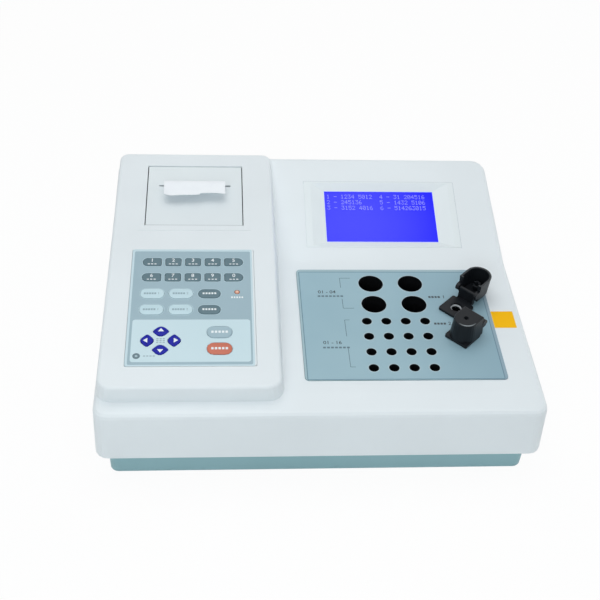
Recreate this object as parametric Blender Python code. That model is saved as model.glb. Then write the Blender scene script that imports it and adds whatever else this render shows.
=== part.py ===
"""Two-channel coagulation analyzer, a bench instrument with its own printer.

Metres, +Z up, the feet on Z = 0, the front towards -Y, the centre line at X = 0.
Sloping faces have their own local frames, whose x is the world's X and whose z
is the face's normal, so sizes on a face are given as they are measured on it.
"""
import bmesh
import bpy
from math import cos, pi, radians, sin, tan
from mathutils import Matrix, Vector

# Fits, overruns and facet counts
GAP = 0.0003
PIN_FIT = 0.0001
OVERRUN = 0.002
WELD = 0.00001
ROUND_STEPS = 28
WELL_STEPS = 14
PIN_STEPS = 12
CORNER_STEPS = 4
EDGE_STEPS = 3
SMOOTH_DEGREES = 35.0

# Keypad, in the pod's frame: x from a datum beside the pod's left edge, y from the body's front
KEY_DATUM_INSET = 0.002
OVERLAY_FRONT = 0.037
OVERLAY_SIDE = 0.0096
OVERLAY_HEAD = 0.01115
OVERLAY_CORNER = 0.002
OVERLAY_FLOOR = 0.0018
OVERLAY_PROUD = 0.0003
KEY_PROUD = 0.0008
KEY_HEIGHT = 0.0017
KEY_EDGE = 0.0003
KEY_FIT = 0.0003
DIGIT_X = 0.0394
DIGIT_COUNT = 5
DIGIT_WIDTH = 0.0136
DIGIT_END_WIDTH = 0.0162
DIGIT_DEPTH = 0.0097
DIGIT_GAP_X = 0.0036
DIGIT_GAP_Y = 0.0092
DIGIT_CORNER = 0.0018
DIGIT_STEP = 0.0093
FUNCTION_X = 0.0409
FUNCTION_WIDTH = 0.0204
FUNCTION_DEPTH = 0.0115
FUNCTION_GAP_X = 0.0041
FUNCTION_GAP_Y = 0.0072
FUNCTION_STEP = 0.0135
SERVICE_GAP = 0.0047
SERVICE_WIDTH = 0.0188
SERVICE_DEPTH = 0.0104
ARROW_INSET_X = 0.0282
ARROW_INSET_Y = 0.0275
ARROW_STEP_X = 0.0111
ARROW_STEP_Y = 0.0101
ARROW_LONG = 0.0142
ARROW_SHORT = 0.0146
ARROW_POINT = 0.0014
ARROW_BACK = 0.0042
COMMAND_X = 0.0983
COMMAND_MARGIN = 0.01215
COMMAND_WIDTH = 0.0207
COMMAND_DEPTH = 0.0127
COMMAND_GAP = 0.0055
LAMP_GAP = 0.0143
LAMP_RISE = 0.0021
LAMP_RADIUS = 0.0022

# Rows and columns of the keypad, from the front row to the back one
COMMAND_LOW_Y = OVERLAY_FRONT + COMMAND_MARGIN + COMMAND_DEPTH / 2
COMMAND_HIGH_Y = COMMAND_LOW_Y + COMMAND_DEPTH + COMMAND_GAP
FUNCTION_LOW_Y = COMMAND_HIGH_Y + COMMAND_DEPTH / 2 + FUNCTION_STEP + FUNCTION_DEPTH / 2
FUNCTION_HIGH_Y = FUNCTION_LOW_Y + FUNCTION_DEPTH + FUNCTION_GAP_Y
DIGIT_LOW_Y = FUNCTION_HIGH_Y + FUNCTION_DEPTH / 2 + DIGIT_STEP + DIGIT_DEPTH / 2
DIGIT_HIGH_Y = DIGIT_LOW_Y + DIGIT_DEPTH + DIGIT_GAP_Y
DIGIT_PITCH = DIGIT_WIDTH + DIGIT_GAP_X
DIGIT_END_PITCH = (DIGIT_END_WIDTH + DIGIT_WIDTH) / 2 + DIGIT_GAP_X
DIGIT_LAST_X = DIGIT_X + 2 * DIGIT_END_PITCH + (DIGIT_COUNT - 3) * DIGIT_PITCH
SERVICE_X = FUNCTION_X + FUNCTION_GAP_X + SERVICE_GAP + (3 * FUNCTION_WIDTH + SERVICE_WIDTH) / 2
OVERLAY_LEFT = DIGIT_X - DIGIT_END_WIDTH / 2 - OVERLAY_SIDE
OVERLAY_RIGHT = DIGIT_LAST_X + DIGIT_END_WIDTH / 2 + OVERLAY_SIDE
OVERLAY_REAR = DIGIT_HIGH_Y + DIGIT_DEPTH / 2 + OVERLAY_HEAD
ARROW_X = OVERLAY_LEFT + ARROW_INSET_X
ARROW_Y = OVERLAY_FRONT + ARROW_INSET_Y
LAMP_X = SERVICE_X + SERVICE_WIDTH / 2 + LAMP_GAP
LAMP_Y = FUNCTION_HIGH_Y + LAMP_RISE

# Printer under the pod's door, in the pod's frame
PAPER_WIDTH = 0.057
PAPER_THICKNESS = 0.0003
PAPER_STEPS = 10
PAPER_RISE = 0.0035
PAPER_RADIUS = 0.0072
PAPER_TURN = 128.0
PAPER_TAIL = 0.0065
PAPER_ROOT = 0.0036
PLATEN_RADIUS = 0.0055
PLATEN_MARGIN = 0.0015
PLATEN_SHAFT = 0.002
PLATEN_COVER = 0.007
PLATEN_SPACE = 0.0168
GEAR_TEETH = 14
GEAR_RADIUS = 0.0072
GEAR_ROOT_SHARE = 0.82
GEAR_WIDTH = 0.003
HEAD_THICKNESS = 0.0045
HEAD_SPACE = 0.0058
HEAD_CLEAR = 0.0004
ROLL_RADIUS = 0.0205
ROLL_CORE = 0.0062
ROLL_PLAY = 0.0002
ROLL_CLEAR = 0.0052
ROLL_COVER = 0.007
SPINDLE_STUB = 0.0028
BAY_MARGIN = 0.0022
BAY_WALL = 0.0018
BAY_FOOT = 0.004
DOOR_CENTRE_X = 0.07535
DOOR_STEP = 0.032
DOOR_SHOULDER = 0.01505
DOOR_SIDE_GAP = 0.0006
DOOR_THICKNESS = 0.0024
DOOR_BARREL = 0.0015
DOOR_STUB_RADIUS = 0.0009
DOOR_STUB_LENGTH = 0.002
DOOR_RIM = 0.0066
DOOR_RIM_RISE = 0.0003
DOOR_RIB_HEIGHT = 0.003
DOOR_RIB_INSET = 0.006
SLOT_LEAD = 0.0014
SLOT_MARGIN = 0.0051
SLOT_OPENING = 0.0022

# Places in the printer, from the door's front edge to its back one
PLATEN_LENGTH = PAPER_WIDTH + 2 * PLATEN_MARGIN
ROLL_WIDTH = PAPER_WIDTH + ROLL_PLAY
SLOT_WIDTH = PAPER_WIDTH + 2 * SLOT_MARGIN
DOOR_WIDTH = PLATEN_LENGTH + 2 * DOOR_SHOULDER
DOOR_LEFT = DOOR_CENTRE_X - DOOR_WIDTH / 2
DOOR_RIGHT = DOOR_CENTRE_X + DOOR_WIDTH / 2
DOOR_FRONT = OVERLAY_REAR + DOOR_STEP
ROLL_Y = DOOR_FRONT + ROLL_CLEAR + ROLL_RADIUS
ROLL_Z = -ROLL_COVER - ROLL_RADIUS
PLATEN_Y = ROLL_Y + ROLL_RADIUS + HEAD_SPACE + HEAD_THICKNESS + HEAD_CLEAR + PLATEN_RADIUS
PLATEN_Z = -PLATEN_COVER - PLATEN_RADIUS
SLOT_Y = PLATEN_Y - PLATEN_RADIUS - SLOT_LEAD
DOOR_REAR = PLATEN_Y + PLATEN_RADIUS + PLATEN_SPACE
BAY_DEPTH = ROLL_COVER + 2 * ROLL_RADIUS + BAY_FOOT

# Optic channels, in a frame on the plate with y towards the hinge
OPTIC_TURN = -45.0
OPTIC_GAP = 0.00195
OPTIC_BASE_HALF = 0.0114
OPTIC_BASE_THICKNESS = 0.0024
OPTIC_BASE_CORNER = 0.0016
OPTIC_HOLE_RADIUS = 0.0056
CAP_OVERHANG = 0.0002
CAP_TAPER = 0.0014
CAP_FLAT = 0.0008
CAP_HEIGHT = 0.0186
CAP_WALL = 0.0016
CAP_ROOF = 0.002
CAP_EDGE = 0.0012
CAP_HOLE_RADIUS = 0.0014
CAP_MOUTH_HOLE_RADIUS = 0.0022
CAP_MOUTH_HOLE_DEPTH = 0.0012
CAP_GUIDE_RADIUS = 0.0034
CAP_GUIDE_LENGTH = 0.007
HINGE_Z = 0.0127
HINGE_CLEAR = 0.0009
HINGE_PLATE_THICKNESS = 0.0028
HINGE_PIN_RADIUS = 0.0008
EAR_RADIUS = 0.0034
EAR_THICKNESS = 0.003
EAR_INSET = 0.0008
NOTCH_RISE = 0.0006
SLEEVE_WALL = 0.0009
SLEEVE_RECESS = 0.0012
SLEEVE_DEPTH = 0.03
SLEEVE_FLOOR = 0.002
OPTIC_PITCH = (2 * OPTIC_BASE_HALF + OPTIC_GAP) / sin(radians(-OPTIC_TURN))
CAP_MOUTH_RADIUS = OPTIC_BASE_HALF + CAP_OVERHANG
CAP_TOP_RADIUS = CAP_MOUTH_RADIUS - CAP_TAPER
CAP_FLAT_Y = CAP_MOUTH_RADIUS + CAP_FLAT
HINGE_Y = CAP_FLAT_Y + HINGE_CLEAR + HINGE_PLATE_THICKNESS / 2
HINGE_PLATE_HALF_WIDTH = CAP_MOUTH_RADIUS - EAR_INSET - EAR_THICKNESS
CUVETTE_RADIUS = OPTIC_HOLE_RADIUS - GAP - SLEEVE_WALL

# Sample deck: wells, and the plate that reaches round them
VIAL_HOLE_RADIUS = 0.01125
VIAL_PITCH_X = 0.0361
VIAL_PITCH_Y = 0.028
VIAL_INSET = 0.00865
VIAL_STEP = 0.0222
VIAL_MARGIN = 0.0196
TUBE_HOLE_RADIUS = 0.0045
TUBE_PITCH_X = 0.0172
TUBE_PITCH_Y = 0.0191
TUBE_ROWS = 4
TUBE_COLUMNS = 4
TUBE_MARGIN_X = 0.05825
TUBE_MARGIN_Y = 0.0137
OPTIC_STEP = 0.02995
OPTIC_MARGIN_X = 0.0304
OPTIC_MARGIN_Y = 0.0514
PLATE_THICKNESS = 0.0016
PLATE_RECESS = 0.001
PLATE_CORNER = 0.0035
PLATE_WIDTH = TUBE_MARGIN_X + (TUBE_COLUMNS - 1) * TUBE_PITCH_X + OPTIC_STEP + OPTIC_MARGIN_X
PLATE_LENGTH = TUBE_MARGIN_Y + (TUBE_ROWS - 1) * TUBE_PITCH_Y + VIAL_STEP + VIAL_PITCH_Y + VIAL_MARGIN

# Heating blocks under the plate
BLOCK_MARGIN_X = 0.0075
BLOCK_MARGIN_FRONT = 0.0075
BLOCK_MARGIN_REAR = 0.004
BLOCK_HEIGHT = 0.046
WELL_DEPTH = 0.038
POST_RADIUS = 0.0045
POST_INSET = 0.008

# Display window, in the frame of the display face
BEZEL_INSET = 0.01155
BEZEL_FRONT = 0.0159
BEZEL_HEAD = 0.03033
BEZEL_WIDTH = 0.147
BEZEL_HEIGHT = 0.0778
BEZEL_POCKET = 0.0018
BEZEL_PROUD = 0.0003
BEZEL_LIP = 0.0035
BEZEL_BACK = 0.0033
BEVEL_LEFT = 0.00645
BEVEL_RIGHT = 0.00545
BEVEL_FRONT = 0.001
BEVEL_REAR = 0.0017
WINDOW_LEFT = 0.01975
WINDOW_RIGHT = 0.02065
WINDOW_FRONT = 0.0085
WINDOW_REAR = 0.0097
WINDOW_DEPTH = 0.003
LCD_MARGIN = 0.0035
LCD_THICKNESS = 0.0028
LCD_BOARD_MARGIN = 0.009
LCD_BOARD_THICKNESS = 0.0016

# Raised control pod on the left
POD_TILT = 4.67
POD_RISE = 0.01345
POD_FOOT = 0.0052
POD_LEDGE = 0.0008
POD_MARGIN = 0.0196
POD_FRONT = 0.01455
POD_RIGHT_SHARE = 0.15
POD_FRONT_CORNER = 0.012
POD_BACK_CORNER = 0.008
POD_EDGE = 0.0024

# Upper housing, measured at the level of the sample deck
DECK_LEVEL = 0.0806
DECK_STEP = 0.0205
DECK_MARGIN = 0.0272
DECK_FRONT = 0.0357
BEND_STEP = 0.0131
BEND_RADIUS = 0.03
DISPLAY_TILT = 16.53
RIM_LEVEL = 0.033
SKIN = 0.0028
DRAFT_SHARE = 0.11
SKIRT_DROP = 0.0055
SKIRT_SHARE = 0.006
FRONT_CORNER = 0.0105
BACK_CORNER = 0.013
TOP_EDGE = 0.0045
RIM_EDGE = 0.0016
BAND_DEPTH = 0.0225
BAND_DROP = 0.0014
BODY_SHIFT = 0.00065
BODY_WIDTH = KEY_DATUM_INSET + OVERLAY_RIGHT + POD_MARGIN + DECK_STEP + PLATE_WIDTH + DECK_MARGIN
BODY_HALF_WIDTH = BODY_WIDTH / 2
DISPLAY_LENGTH = BEZEL_FRONT + BEZEL_HEIGHT + BEZEL_HEAD
DISPLAY_DEPTH = DISPLAY_LENGTH * cos(radians(DISPLAY_TILT))
BODY_DEPTH = DECK_FRONT + PLATE_LENGTH + BEND_STEP + DISPLAY_DEPTH
BODY_FRONT = -BODY_DEPTH / 2 - BODY_SHIFT
BODY_BACK = BODY_FRONT + BODY_DEPTH
POD_DEPTH = POD_RISE + POD_FOOT + BODY_DEPTH * tan(radians(POD_TILT)) + OVERRUN

# Places on the housing that follow from the sizes above
KEY_DATUM_X = KEY_DATUM_INSET - BODY_HALF_WIDTH
POD_RIGHT = KEY_DATUM_X + OVERLAY_RIGHT + POD_MARGIN
PLATE_LEFT = POD_RIGHT + DECK_STEP
PLATE_FRONT = BODY_FRONT + DECK_FRONT
PLATE_CENTRE_X = PLATE_LEFT + PLATE_WIDTH / 2
PLATE_CENTRE_Y = PLATE_FRONT + PLATE_LENGTH / 2
BEND_Y = PLATE_FRONT + PLATE_LENGTH + BEND_STEP
TUBE_X = PLATE_LEFT + TUBE_MARGIN_X
TUBE_Y = PLATE_FRONT + TUBE_MARGIN_Y
VIAL_X = TUBE_X + VIAL_INSET
VIAL_Y = TUBE_Y + (TUBE_ROWS - 1) * TUBE_PITCH_Y + VIAL_STEP
OPTIC_X = TUBE_X + (TUBE_COLUMNS - 1) * TUBE_PITCH_X + OPTIC_STEP
OPTIC_2_Y = PLATE_FRONT + OPTIC_MARGIN_Y
OPTIC_1_Y = OPTIC_2_Y + OPTIC_PITCH
BEZEL_CENTRE_X = PLATE_LEFT + BEZEL_INSET + BEZEL_WIDTH / 2
BEZEL_CENTRE_Y = BEZEL_FRONT + BEZEL_HEIGHT / 2

# Base tray under the housing
TRAY_INSET = 0.0083
TRAY_FRONT_INSET = 0.0058
TRAY_BACK_INSET = 0.0088
TRAY_BOTTOM = 0.0025
TRAY_WALL = 0.0025
TRAY_DRAFT_SHARE = 0.02
TRAY_CORNER = 0.0068
TRAY_BOTTOM_EDGE = 0.002
FLANGE_THICKNESS = 0.0022
FLANGE_LIFT = 0.001
VENT_COUNT = 7
VENT_LENGTH = 0.05
VENT_WIDTH = 0.003
VENT_PITCH = 0.0075
VENT_INSET = 0.0665
VENT_STEP = 0.088
TRAY_HALF_WIDTH = BODY_HALF_WIDTH - TRAY_INSET
TRAY_FRONT = BODY_FRONT + TRAY_FRONT_INSET
TRAY_BACK = BODY_BACK - TRAY_BACK_INSET
VENT_X = TRAY_HALF_WIDTH - VENT_INSET
VENT_Y = TRAY_BACK - VENT_STEP

# Screws that join the tray to the housing, outside the tray's walls
SCREW_STEP = 0.003
SCREW_INSET = 0.039
SCREW_BOSS_HALF = 0.0042
SCREW_BOSS_HEIGHT = 0.018
SCREW_HOLE_RADIUS = 0.0014
SCREW_HOLE_DEPTH = 0.012
SCREW_X = TRAY_HALF_WIDTH + SCREW_STEP
SCREW_FRONT = BODY_FRONT + SCREW_INSET
SCREW_REAR = BODY_BACK - SCREW_INSET

# Rubber feet
FOOT_RADIUS = 0.0075
FOOT_HEIGHT = 0.0022
FOOT_STEM_RADIUS = 0.0026
FOOT_STEM_LENGTH = 0.004
FOOT_INSET = 0.03

# Rear panel and what it carries
PANEL_MARGIN = 0.044
PANEL_LIFT = 0.0335
PANEL_WIDTH = 0.2
PANEL_HEIGHT = 0.048
PANEL_POCKET = 0.0016
PANEL_LIP = 0.004
PANEL_THICKNESS = 0.0013
PANEL_CORNER = 0.003
PANEL_SLOTS = 8
PANEL_SLOT_PITCH = 0.006
PANEL_SLOT_WIDTH = 0.0026
PANEL_SLOT_HEIGHT = 0.026
PANEL_SLOT_STEP = 0.03
INLET_STEP = 0.035
INLET_BODY_WIDTH = 0.046
INLET_BODY_HEIGHT = 0.026
INLET_BODY_DEPTH = 0.024
INLET_LIP = 0.002
INLET_FLANGE_THICKNESS = 0.002
INLET_CORNER = 0.002
SOCKET_X = -0.0105
SOCKET_WIDTH = 0.0225
SOCKET_HEIGHT = 0.0155
SOCKET_DEPTH = 0.0155
SOCKET_CORNER = 0.0035
BLADE_WIDTH = 0.002
BLADE_HEIGHT = 0.004
BLADE_LENGTH = 0.009
BLADE_PITCH = 0.007
BLADE_LIFT = 0.002
ROCKER_X = 0.0145
ROCKER_WIDTH = 0.0125
ROCKER_HEIGHT = 0.019
ROCKER_PLAY = 0.001
ROCKER_WELL = 0.01
ROCKER_SWING = 7.0
ROCKER_BOSS = 0.0022
ROCKER_PIVOT_DEPTH = 0.0045
PORT_STEP = 0.105
PORT_SHELL_WIDTH = 0.0168
PORT_SHELL_HEIGHT = 0.008
PORT_SHELL_DEPTH = 0.006
PORT_EAR = 0.0071
PORT_LIP = 0.00225
PORT_FLANGE_THICKNESS = 0.001
PORT_SLOPE = 0.0012
PORT_BODY_DEPTH = 0.009
PANEL_CENTRE_X = BODY_HALF_WIDTH - PANEL_MARGIN - PANEL_WIDTH / 2
PANEL_CENTRE_Z = RIM_LEVEL + PANEL_LIFT
INLET_X = PANEL_CENTRE_X + PANEL_WIDTH / 2 - INLET_STEP
PORT_X = PANEL_CENTRE_X + PANEL_WIDTH / 2 - PORT_STEP
PANEL_SLOT_X = PANEL_CENTRE_X - PANEL_WIDTH / 2 + PANEL_SLOT_STEP

# Boards inside
BOARD_WIDTH = 0.14
BOARD_INSET_X = 0.0265
BOARD_INSET_Y = 0.015
BOARD_CLEAR = 0.01255
BOARD_THICKNESS = 0.0016
BOARD_LIFT = 0.009
STANDOFF_RADIUS = 0.003
STANDOFF_INSET = 0.005
SUPPLY_INSET_X = 0.024
SUPPLY_INSET_Y = 0.0349
SUPPLY_WIDTH = 0.095
SUPPLY_LENGTH = 0.11
SUPPLY_HEIGHT = 0.036
SUPPLY_CORNER = 0.002

PARTS = None
CUTTERS = None
PAINTS = {}


def clear_scene():
    for obj in list(bpy.data.objects):
        bpy.data.objects.remove(obj, do_unlink=True)


def make_collections():
    global PARTS, CUTTERS
    PARTS = bpy.data.collections.new("coagulation_analyzer")
    CUTTERS = bpy.data.collections.new("cutters")
    bpy.context.scene.collection.children.link(PARTS)
    bpy.context.scene.collection.children.link(CUTTERS)


def paint(name, colour, roughness, metallic=0.0):
    made = bpy.data.materials.new(name)
    made.use_nodes = True
    shader = made.node_tree.nodes["Principled BSDF"]
    shader.inputs["Base Color"].default_value = (*colour, 1.0)
    shader.inputs["Roughness"].default_value = roughness
    shader.inputs["Metallic"].default_value = metallic
    PAINTS[name] = made


def mix_paints():
    paint("white_plastic", (0.80, 0.84, 0.86), 0.42)
    paint("teal_plastic", (0.25, 0.37, 0.40), 0.5)
    paint("plate_blue", (0.36, 0.52, 0.60), 0.4)
    paint("keypad_film", (0.38, 0.50, 0.54), 0.45)
    paint("key_film", (0.55, 0.70, 0.76), 0.45)
    paint("black_plastic", (0.02, 0.02, 0.022), 0.45)
    paint("black_block", (0.015, 0.015, 0.016), 0.5, 0.3)
    paint("bright_metal", (0.75, 0.76, 0.78), 0.3, 1.0)
    paint("panel_metal", (0.5, 0.52, 0.54), 0.4, 0.8)
    paint("lcd_glass", (0.08, 0.08, 0.9), 0.2)
    paint("board_green", (0.03, 0.2, 0.1), 0.5)
    paint("white_paper", (0.92, 0.93, 0.94), 0.8)
    paint("grey_rubber", (0.12, 0.12, 0.13), 0.7)
    paint("lamp_orange", (0.9, 0.3, 0.08), 0.3)


# Frames of the sloping faces

def pod_frame():
    place = Matrix.Translation((0, BODY_FRONT, DECK_LEVEL + POD_RISE))
    return place @ Matrix.Rotation(radians(POD_TILT), 4, "X")


def display_frame():
    place = Matrix.Translation((0, BEND_Y, DECK_LEVEL))
    return place @ Matrix.Rotation(radians(DISPLAY_TILT), 4, "X")


def optic_frame(y):
    place = Matrix.Translation((OPTIC_X, y, plate_top()))
    return place @ Matrix.Rotation(radians(OPTIC_TURN), 4, "Z")


def panel_frame():
    # Local x runs to the world's -X, y up and z out of the back of the housing
    place = Matrix.Translation((PANEL_CENTRE_X, BODY_BACK - PANEL_POCKET, PANEL_CENTRE_Z))
    return place @ Matrix(((-1, 0, 0, 0), (0, 0, 1, 0), (0, 1, 0, 0), (0, 0, 0, 1)))


def plate_top():
    return DECK_LEVEL - PLATE_RECESS + GAP + PLATE_THICKNESS


def plate_underside():
    return DECK_LEVEL - PLATE_RECESS + GAP


# Outlines

def corner_arc(before, corner, after, radius, steps):
    incoming = (before - corner).normalized()
    outgoing = (after - corner).normalized()
    half = incoming.angle(outgoing) / 2
    reach = radius / tan(half)
    centre = corner + (incoming + outgoing).normalized() * (radius / sin(half))
    start = corner + incoming * reach - centre
    end = corner + outgoing * reach - centre
    turn = start.angle_signed(end)
    points = []
    for step in range(steps + 1):
        angle = -turn * step / steps
        points.append(centre + Vector((start.x * cos(angle) - start.y * sin(angle),
                                       start.x * sin(angle) + start.y * cos(angle))))
    return points


def rounded(corners, radii, steps=CORNER_STEPS):
    corners = [Vector(corner) for corner in corners]
    points = []
    for index, corner in enumerate(corners):
        before = corners[index - 1]
        after = corners[(index + 1) % len(corners)]
        if radii[index] > 0:
            points += corner_arc(before, corner, after, radii[index], steps)
        else:
            points.append(corner)
    return points


def rectangle(left, right, front, rear, radius=0.0, steps=CORNER_STEPS):
    corners = ((left, front), (right, front), (right, rear), (left, rear))
    return rounded(corners, (radius,) * len(corners), steps)


def centred(x, y, width, depth, radius=0.0, steps=CORNER_STEPS):
    return rectangle(x - width / 2, x + width / 2, y - depth / 2, y + depth / 2, radius, steps)


def arc(x, y, radius, start, end, steps):
    """Points on an arc between two angles in degrees, both ends included."""
    angles = [radians(start + (end - start) * step / steps) for step in range(steps + 1)]
    return [Vector((x + radius * cos(angle), y + radius * sin(angle))) for angle in angles]


def circle(x, y, radius, steps):
    return [Vector((x + radius * cos(2 * pi * step / steps), y + radius * sin(2 * pi * step / steps)))
            for step in range(steps)]


# Solids

def loft(levels):
    """Joins outlines of as many points, given as (outline, z), into one closed solid."""
    made = bmesh.new()
    rings = [[made.verts.new((point[0], point[1], z)) for point in outline] for outline, z in levels]
    for low, high in zip(rings, rings[1:]):
        for index in range(len(low)):
            following = (index + 1) % len(low)
            made.faces.new((low[index], low[following], high[following], high[index]))
    made.faces.new(reversed(rings[0]))
    made.faces.new(rings[-1])
    bmesh.ops.recalc_face_normals(made, faces=made.faces)
    return made


def slab(outline, low, high):
    return loft(((outline, low), (outline, high)))


def rod(x, y, radius, low, high, steps=ROUND_STEPS):
    return slab(circle(x, y, radius, steps), low, high)


def side_slab(outline, left, right):
    """Draws an outline of (y, z) points out along x."""
    made = slab(outline, left, right)
    return moved(made, Matrix(((0, 0, 1, 0), (1, 0, 0, 0), (0, 1, 0, 0), (0, 0, 0, 1))))


def cross_rod(y, z, radius, left, right, steps=ROUND_STEPS):
    return side_slab(circle(y, z, radius, steps), left, right)


def turned(profile, steps):
    """Turns an (r, z) profile round the z axis."""
    made = bmesh.new()
    points = [made.verts.new((r, 0, z)) for r, z in profile]
    edges = []
    for index, point in enumerate(points):
        following = points[(index + 1) % len(points)]
        if max(abs(point.co.x), abs(following.co.x)) > 0:
            edges.append(made.edges.new((point, following)))
    bmesh.ops.spin(made, geom=points + edges, cent=(0, 0, 0), axis=(0, 0, 1),
                   angle=2 * pi, steps=steps, use_merge=True)
    bmesh.ops.remove_doubles(made, verts=made.verts, dist=WELD)
    bmesh.ops.recalc_face_normals(made, faces=made.faces)
    return made


def merged(*pieces):
    made = bmesh.new()
    for piece in pieces:
        shape = bpy.data.meshes.new("merged")
        piece.to_mesh(shape)
        made.from_mesh(shape)
        piece.free()
        bpy.data.meshes.remove(shape)
    return made


def moved(piece, matrix):
    bmesh.ops.transform(piece, matrix=matrix, verts=piece.verts)
    return piece


def round_edges(piece, chosen, radius, steps):
    edges = [edge for edge in piece.edges if chosen(edge)]
    bmesh.ops.bevel(piece, geom=edges, offset=radius, offset_type="OFFSET", segments=steps,
                    profile=0.5, affect="EDGES", clamp_overlap=True)
    return piece


def cut_level(piece, matrix, z):
    """Takes off what lies under a height of the world and closes the cut."""
    back = matrix.inverted()
    up = back.to_3x3() @ Vector((0, 0, 1))
    made = bmesh.ops.bisect_plane(piece, geom=piece.verts[:] + piece.edges[:] + piece.faces[:], dist=WELD,
                                  plane_co=back @ Vector((0, 0, z)), plane_no=up, clear_inner=True)
    rim = [edge for edge in made["geom_cut"] if isinstance(edge, bmesh.types.BMEdge)]
    bmesh.ops.contextual_create(piece, geom=rim)
    bmesh.ops.recalc_face_normals(piece, faces=piece.faces)
    return piece


def lies_level(edge, z):
    return all(abs(point.co.z - z) < WELD for point in edge.verts)


# Objects

def place(piece, name, group, matrix):
    shape = bpy.data.meshes.new(name)
    piece.to_mesh(shape)
    piece.free()
    obj = bpy.data.objects.new(name, shape)
    obj.matrix_world = matrix
    group.objects.link(obj)
    return obj


def part(piece, name, colour, matrix=Matrix.Identity(4)):
    obj = place(piece, name, PARTS, matrix)
    obj.data.materials.append(PAINTS[colour])
    obj.data.shade_smooth()
    obj.data.set_sharp_from_angle(angle=radians(SMOOTH_DEGREES))
    return obj


def combine(obj, piece, operation, matrix=None):
    tool = place(piece, obj.name + "_tool", CUTTERS, obj.matrix_world if matrix is None else matrix)
    tool.hide_render = True
    tool.display_type = "WIRE"
    step = obj.modifiers.new(operation.lower(), "BOOLEAN")
    step.operation = operation
    step.solver = "EXACT"
    step.object = tool


def cut(obj, piece, matrix=None):
    combine(obj, piece, "DIFFERENCE", matrix)


def add(obj, piece, matrix=None):
    combine(obj, piece, "UNION", matrix)


# Upper housing

def skirt_top(inset):
    return DECK_LEVEL - SKIRT_DROP - inset


def half_width(z, inset):
    """Half the width at a height: the sides lean in above the skirt and stand nearly upright on it."""
    skirt = min(z - skirt_top(inset), 0)
    return BODY_HALF_WIDTH - DRAFT_SHARE * (z - DECK_LEVEL - skirt) - SKIRT_SHARE * skirt - inset


def display_height(y):
    return DECK_LEVEL + (y - BEND_Y) * tan(radians(DISPLAY_TILT))


def pod_height(y):
    return DECK_LEVEL + POD_RISE + (y - BODY_FRONT) * tan(radians(POD_TILT))


def body_profile(inset, rim):
    """The side view's points (y, z), from the front rim over the top to the back rim."""
    reach = BEND_RADIUS * tan(radians(DISPLAY_TILT) / 2)
    skirt = skirt_top(inset)
    points = [(BODY_FRONT - DRAFT_SHARE * (DECK_LEVEL - rim) + inset, rim),
              (BODY_FRONT - DRAFT_SHARE * (DECK_LEVEL - skirt) + inset, skirt),
              (BODY_FRONT + inset, DECK_LEVEL - BAND_DROP - inset),
              (BODY_FRONT + BAND_DEPTH, DECK_LEVEL - inset)]
    for step in range(CORNER_STEPS):
        angle = radians(DISPLAY_TILT) * step / (CORNER_STEPS - 1)
        points.append((BEND_Y - reach + BEND_RADIUS * sin(angle),
                       DECK_LEVEL - inset + BEND_RADIUS * (1 - cos(angle))))
    points.append((BODY_BACK - inset, display_height(BODY_BACK) - inset))
    points.append((BODY_BACK - inset, skirt))
    points.append((BODY_BACK - inset, rim))
    return points


def upright_corners(piece, inset):
    """Rounds the four upright corners of the prism in turn."""
    for front, radius in ((True, FRONT_CORNER), (False, BACK_CORNER)):
        def chosen(edge, front=front):
            low, high = sorted(edge.verts, key=lambda point: point.co.z)
            run = high.co - low.co
            steep = run.z > abs(run.x) + abs(run.y)
            at_side = abs(abs(low.co.x) - half_width(low.co.z, inset)) < WELD
            return steep and at_side and (low.co.y < 0) == front
        round_edges(piece, chosen, radius - inset, CORNER_STEPS)
    return piece


def prism(inset, rim):
    made = bmesh.new()
    profile = body_profile(inset, rim)
    left = [made.verts.new((-half_width(z, inset), y, z)) for y, z in profile]
    right = [made.verts.new((half_width(z, inset), y, z)) for y, z in profile]
    for index in range(len(profile)):
        following = (index + 1) % len(profile)
        made.faces.new((left[index], left[following], right[following], right[index]))
    for side in (left, right):
        made.faces.new((side[0], side[1], side[-2], side[-1]))
        made.faces.new(side[1:-1])
    bmesh.ops.recalc_face_normals(made, faces=made.faces)
    return upright_corners(made, inset)


def on_top_edge(edge):
    if len(edge.link_faces) != 2:
        return False
    heights = sorted(face.normal.z for face in edge.link_faces)
    return heights[1] > cos(pi / 5) and abs(heights[0]) < sin(pi / 5)


def pod_outline(depth, inset):
    """The pod's outline at a depth under its top, drafted on three sides and upright at the back."""
    slope = tan(radians(POD_TILT))
    rear = (BODY_BACK - POD_LEDGE - BODY_FRONT) / cos(radians(POD_TILT)) - depth * slope - inset
    front = POD_FRONT - DRAFT_SHARE * depth + inset
    right = POD_RIGHT + POD_RIGHT_SHARE * depth - inset

    def left(y):
        top = POD_RISE + y * slope
        return -BODY_HALF_WIDTH + POD_LEDGE + DRAFT_SHARE * (top - depth) + inset

    corners = ((left(front), front), (right, front), (right, rear), (left(rear), rear))
    radii = (POD_FRONT_CORNER, POD_FRONT_CORNER, POD_BACK_CORNER, POD_BACK_CORNER)
    return rounded(corners, [radius - inset for radius in radii])


def pod_solid(inset):
    low = POD_DEPTH - inset
    made = loft(((pod_outline(low, inset), -low), (pod_outline(inset, inset), -inset)))
    if inset == 0:
        round_edges(made, lambda edge: lies_level(edge, 0), POD_EDGE, EDGE_STEPS)
    return cut_level(made, pod_frame(), DECK_LEVEL - POD_FOOT)


def screw_places():
    return [(side, y) for side in (-1, 1) for y in (SCREW_FRONT, SCREW_REAR)]


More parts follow.
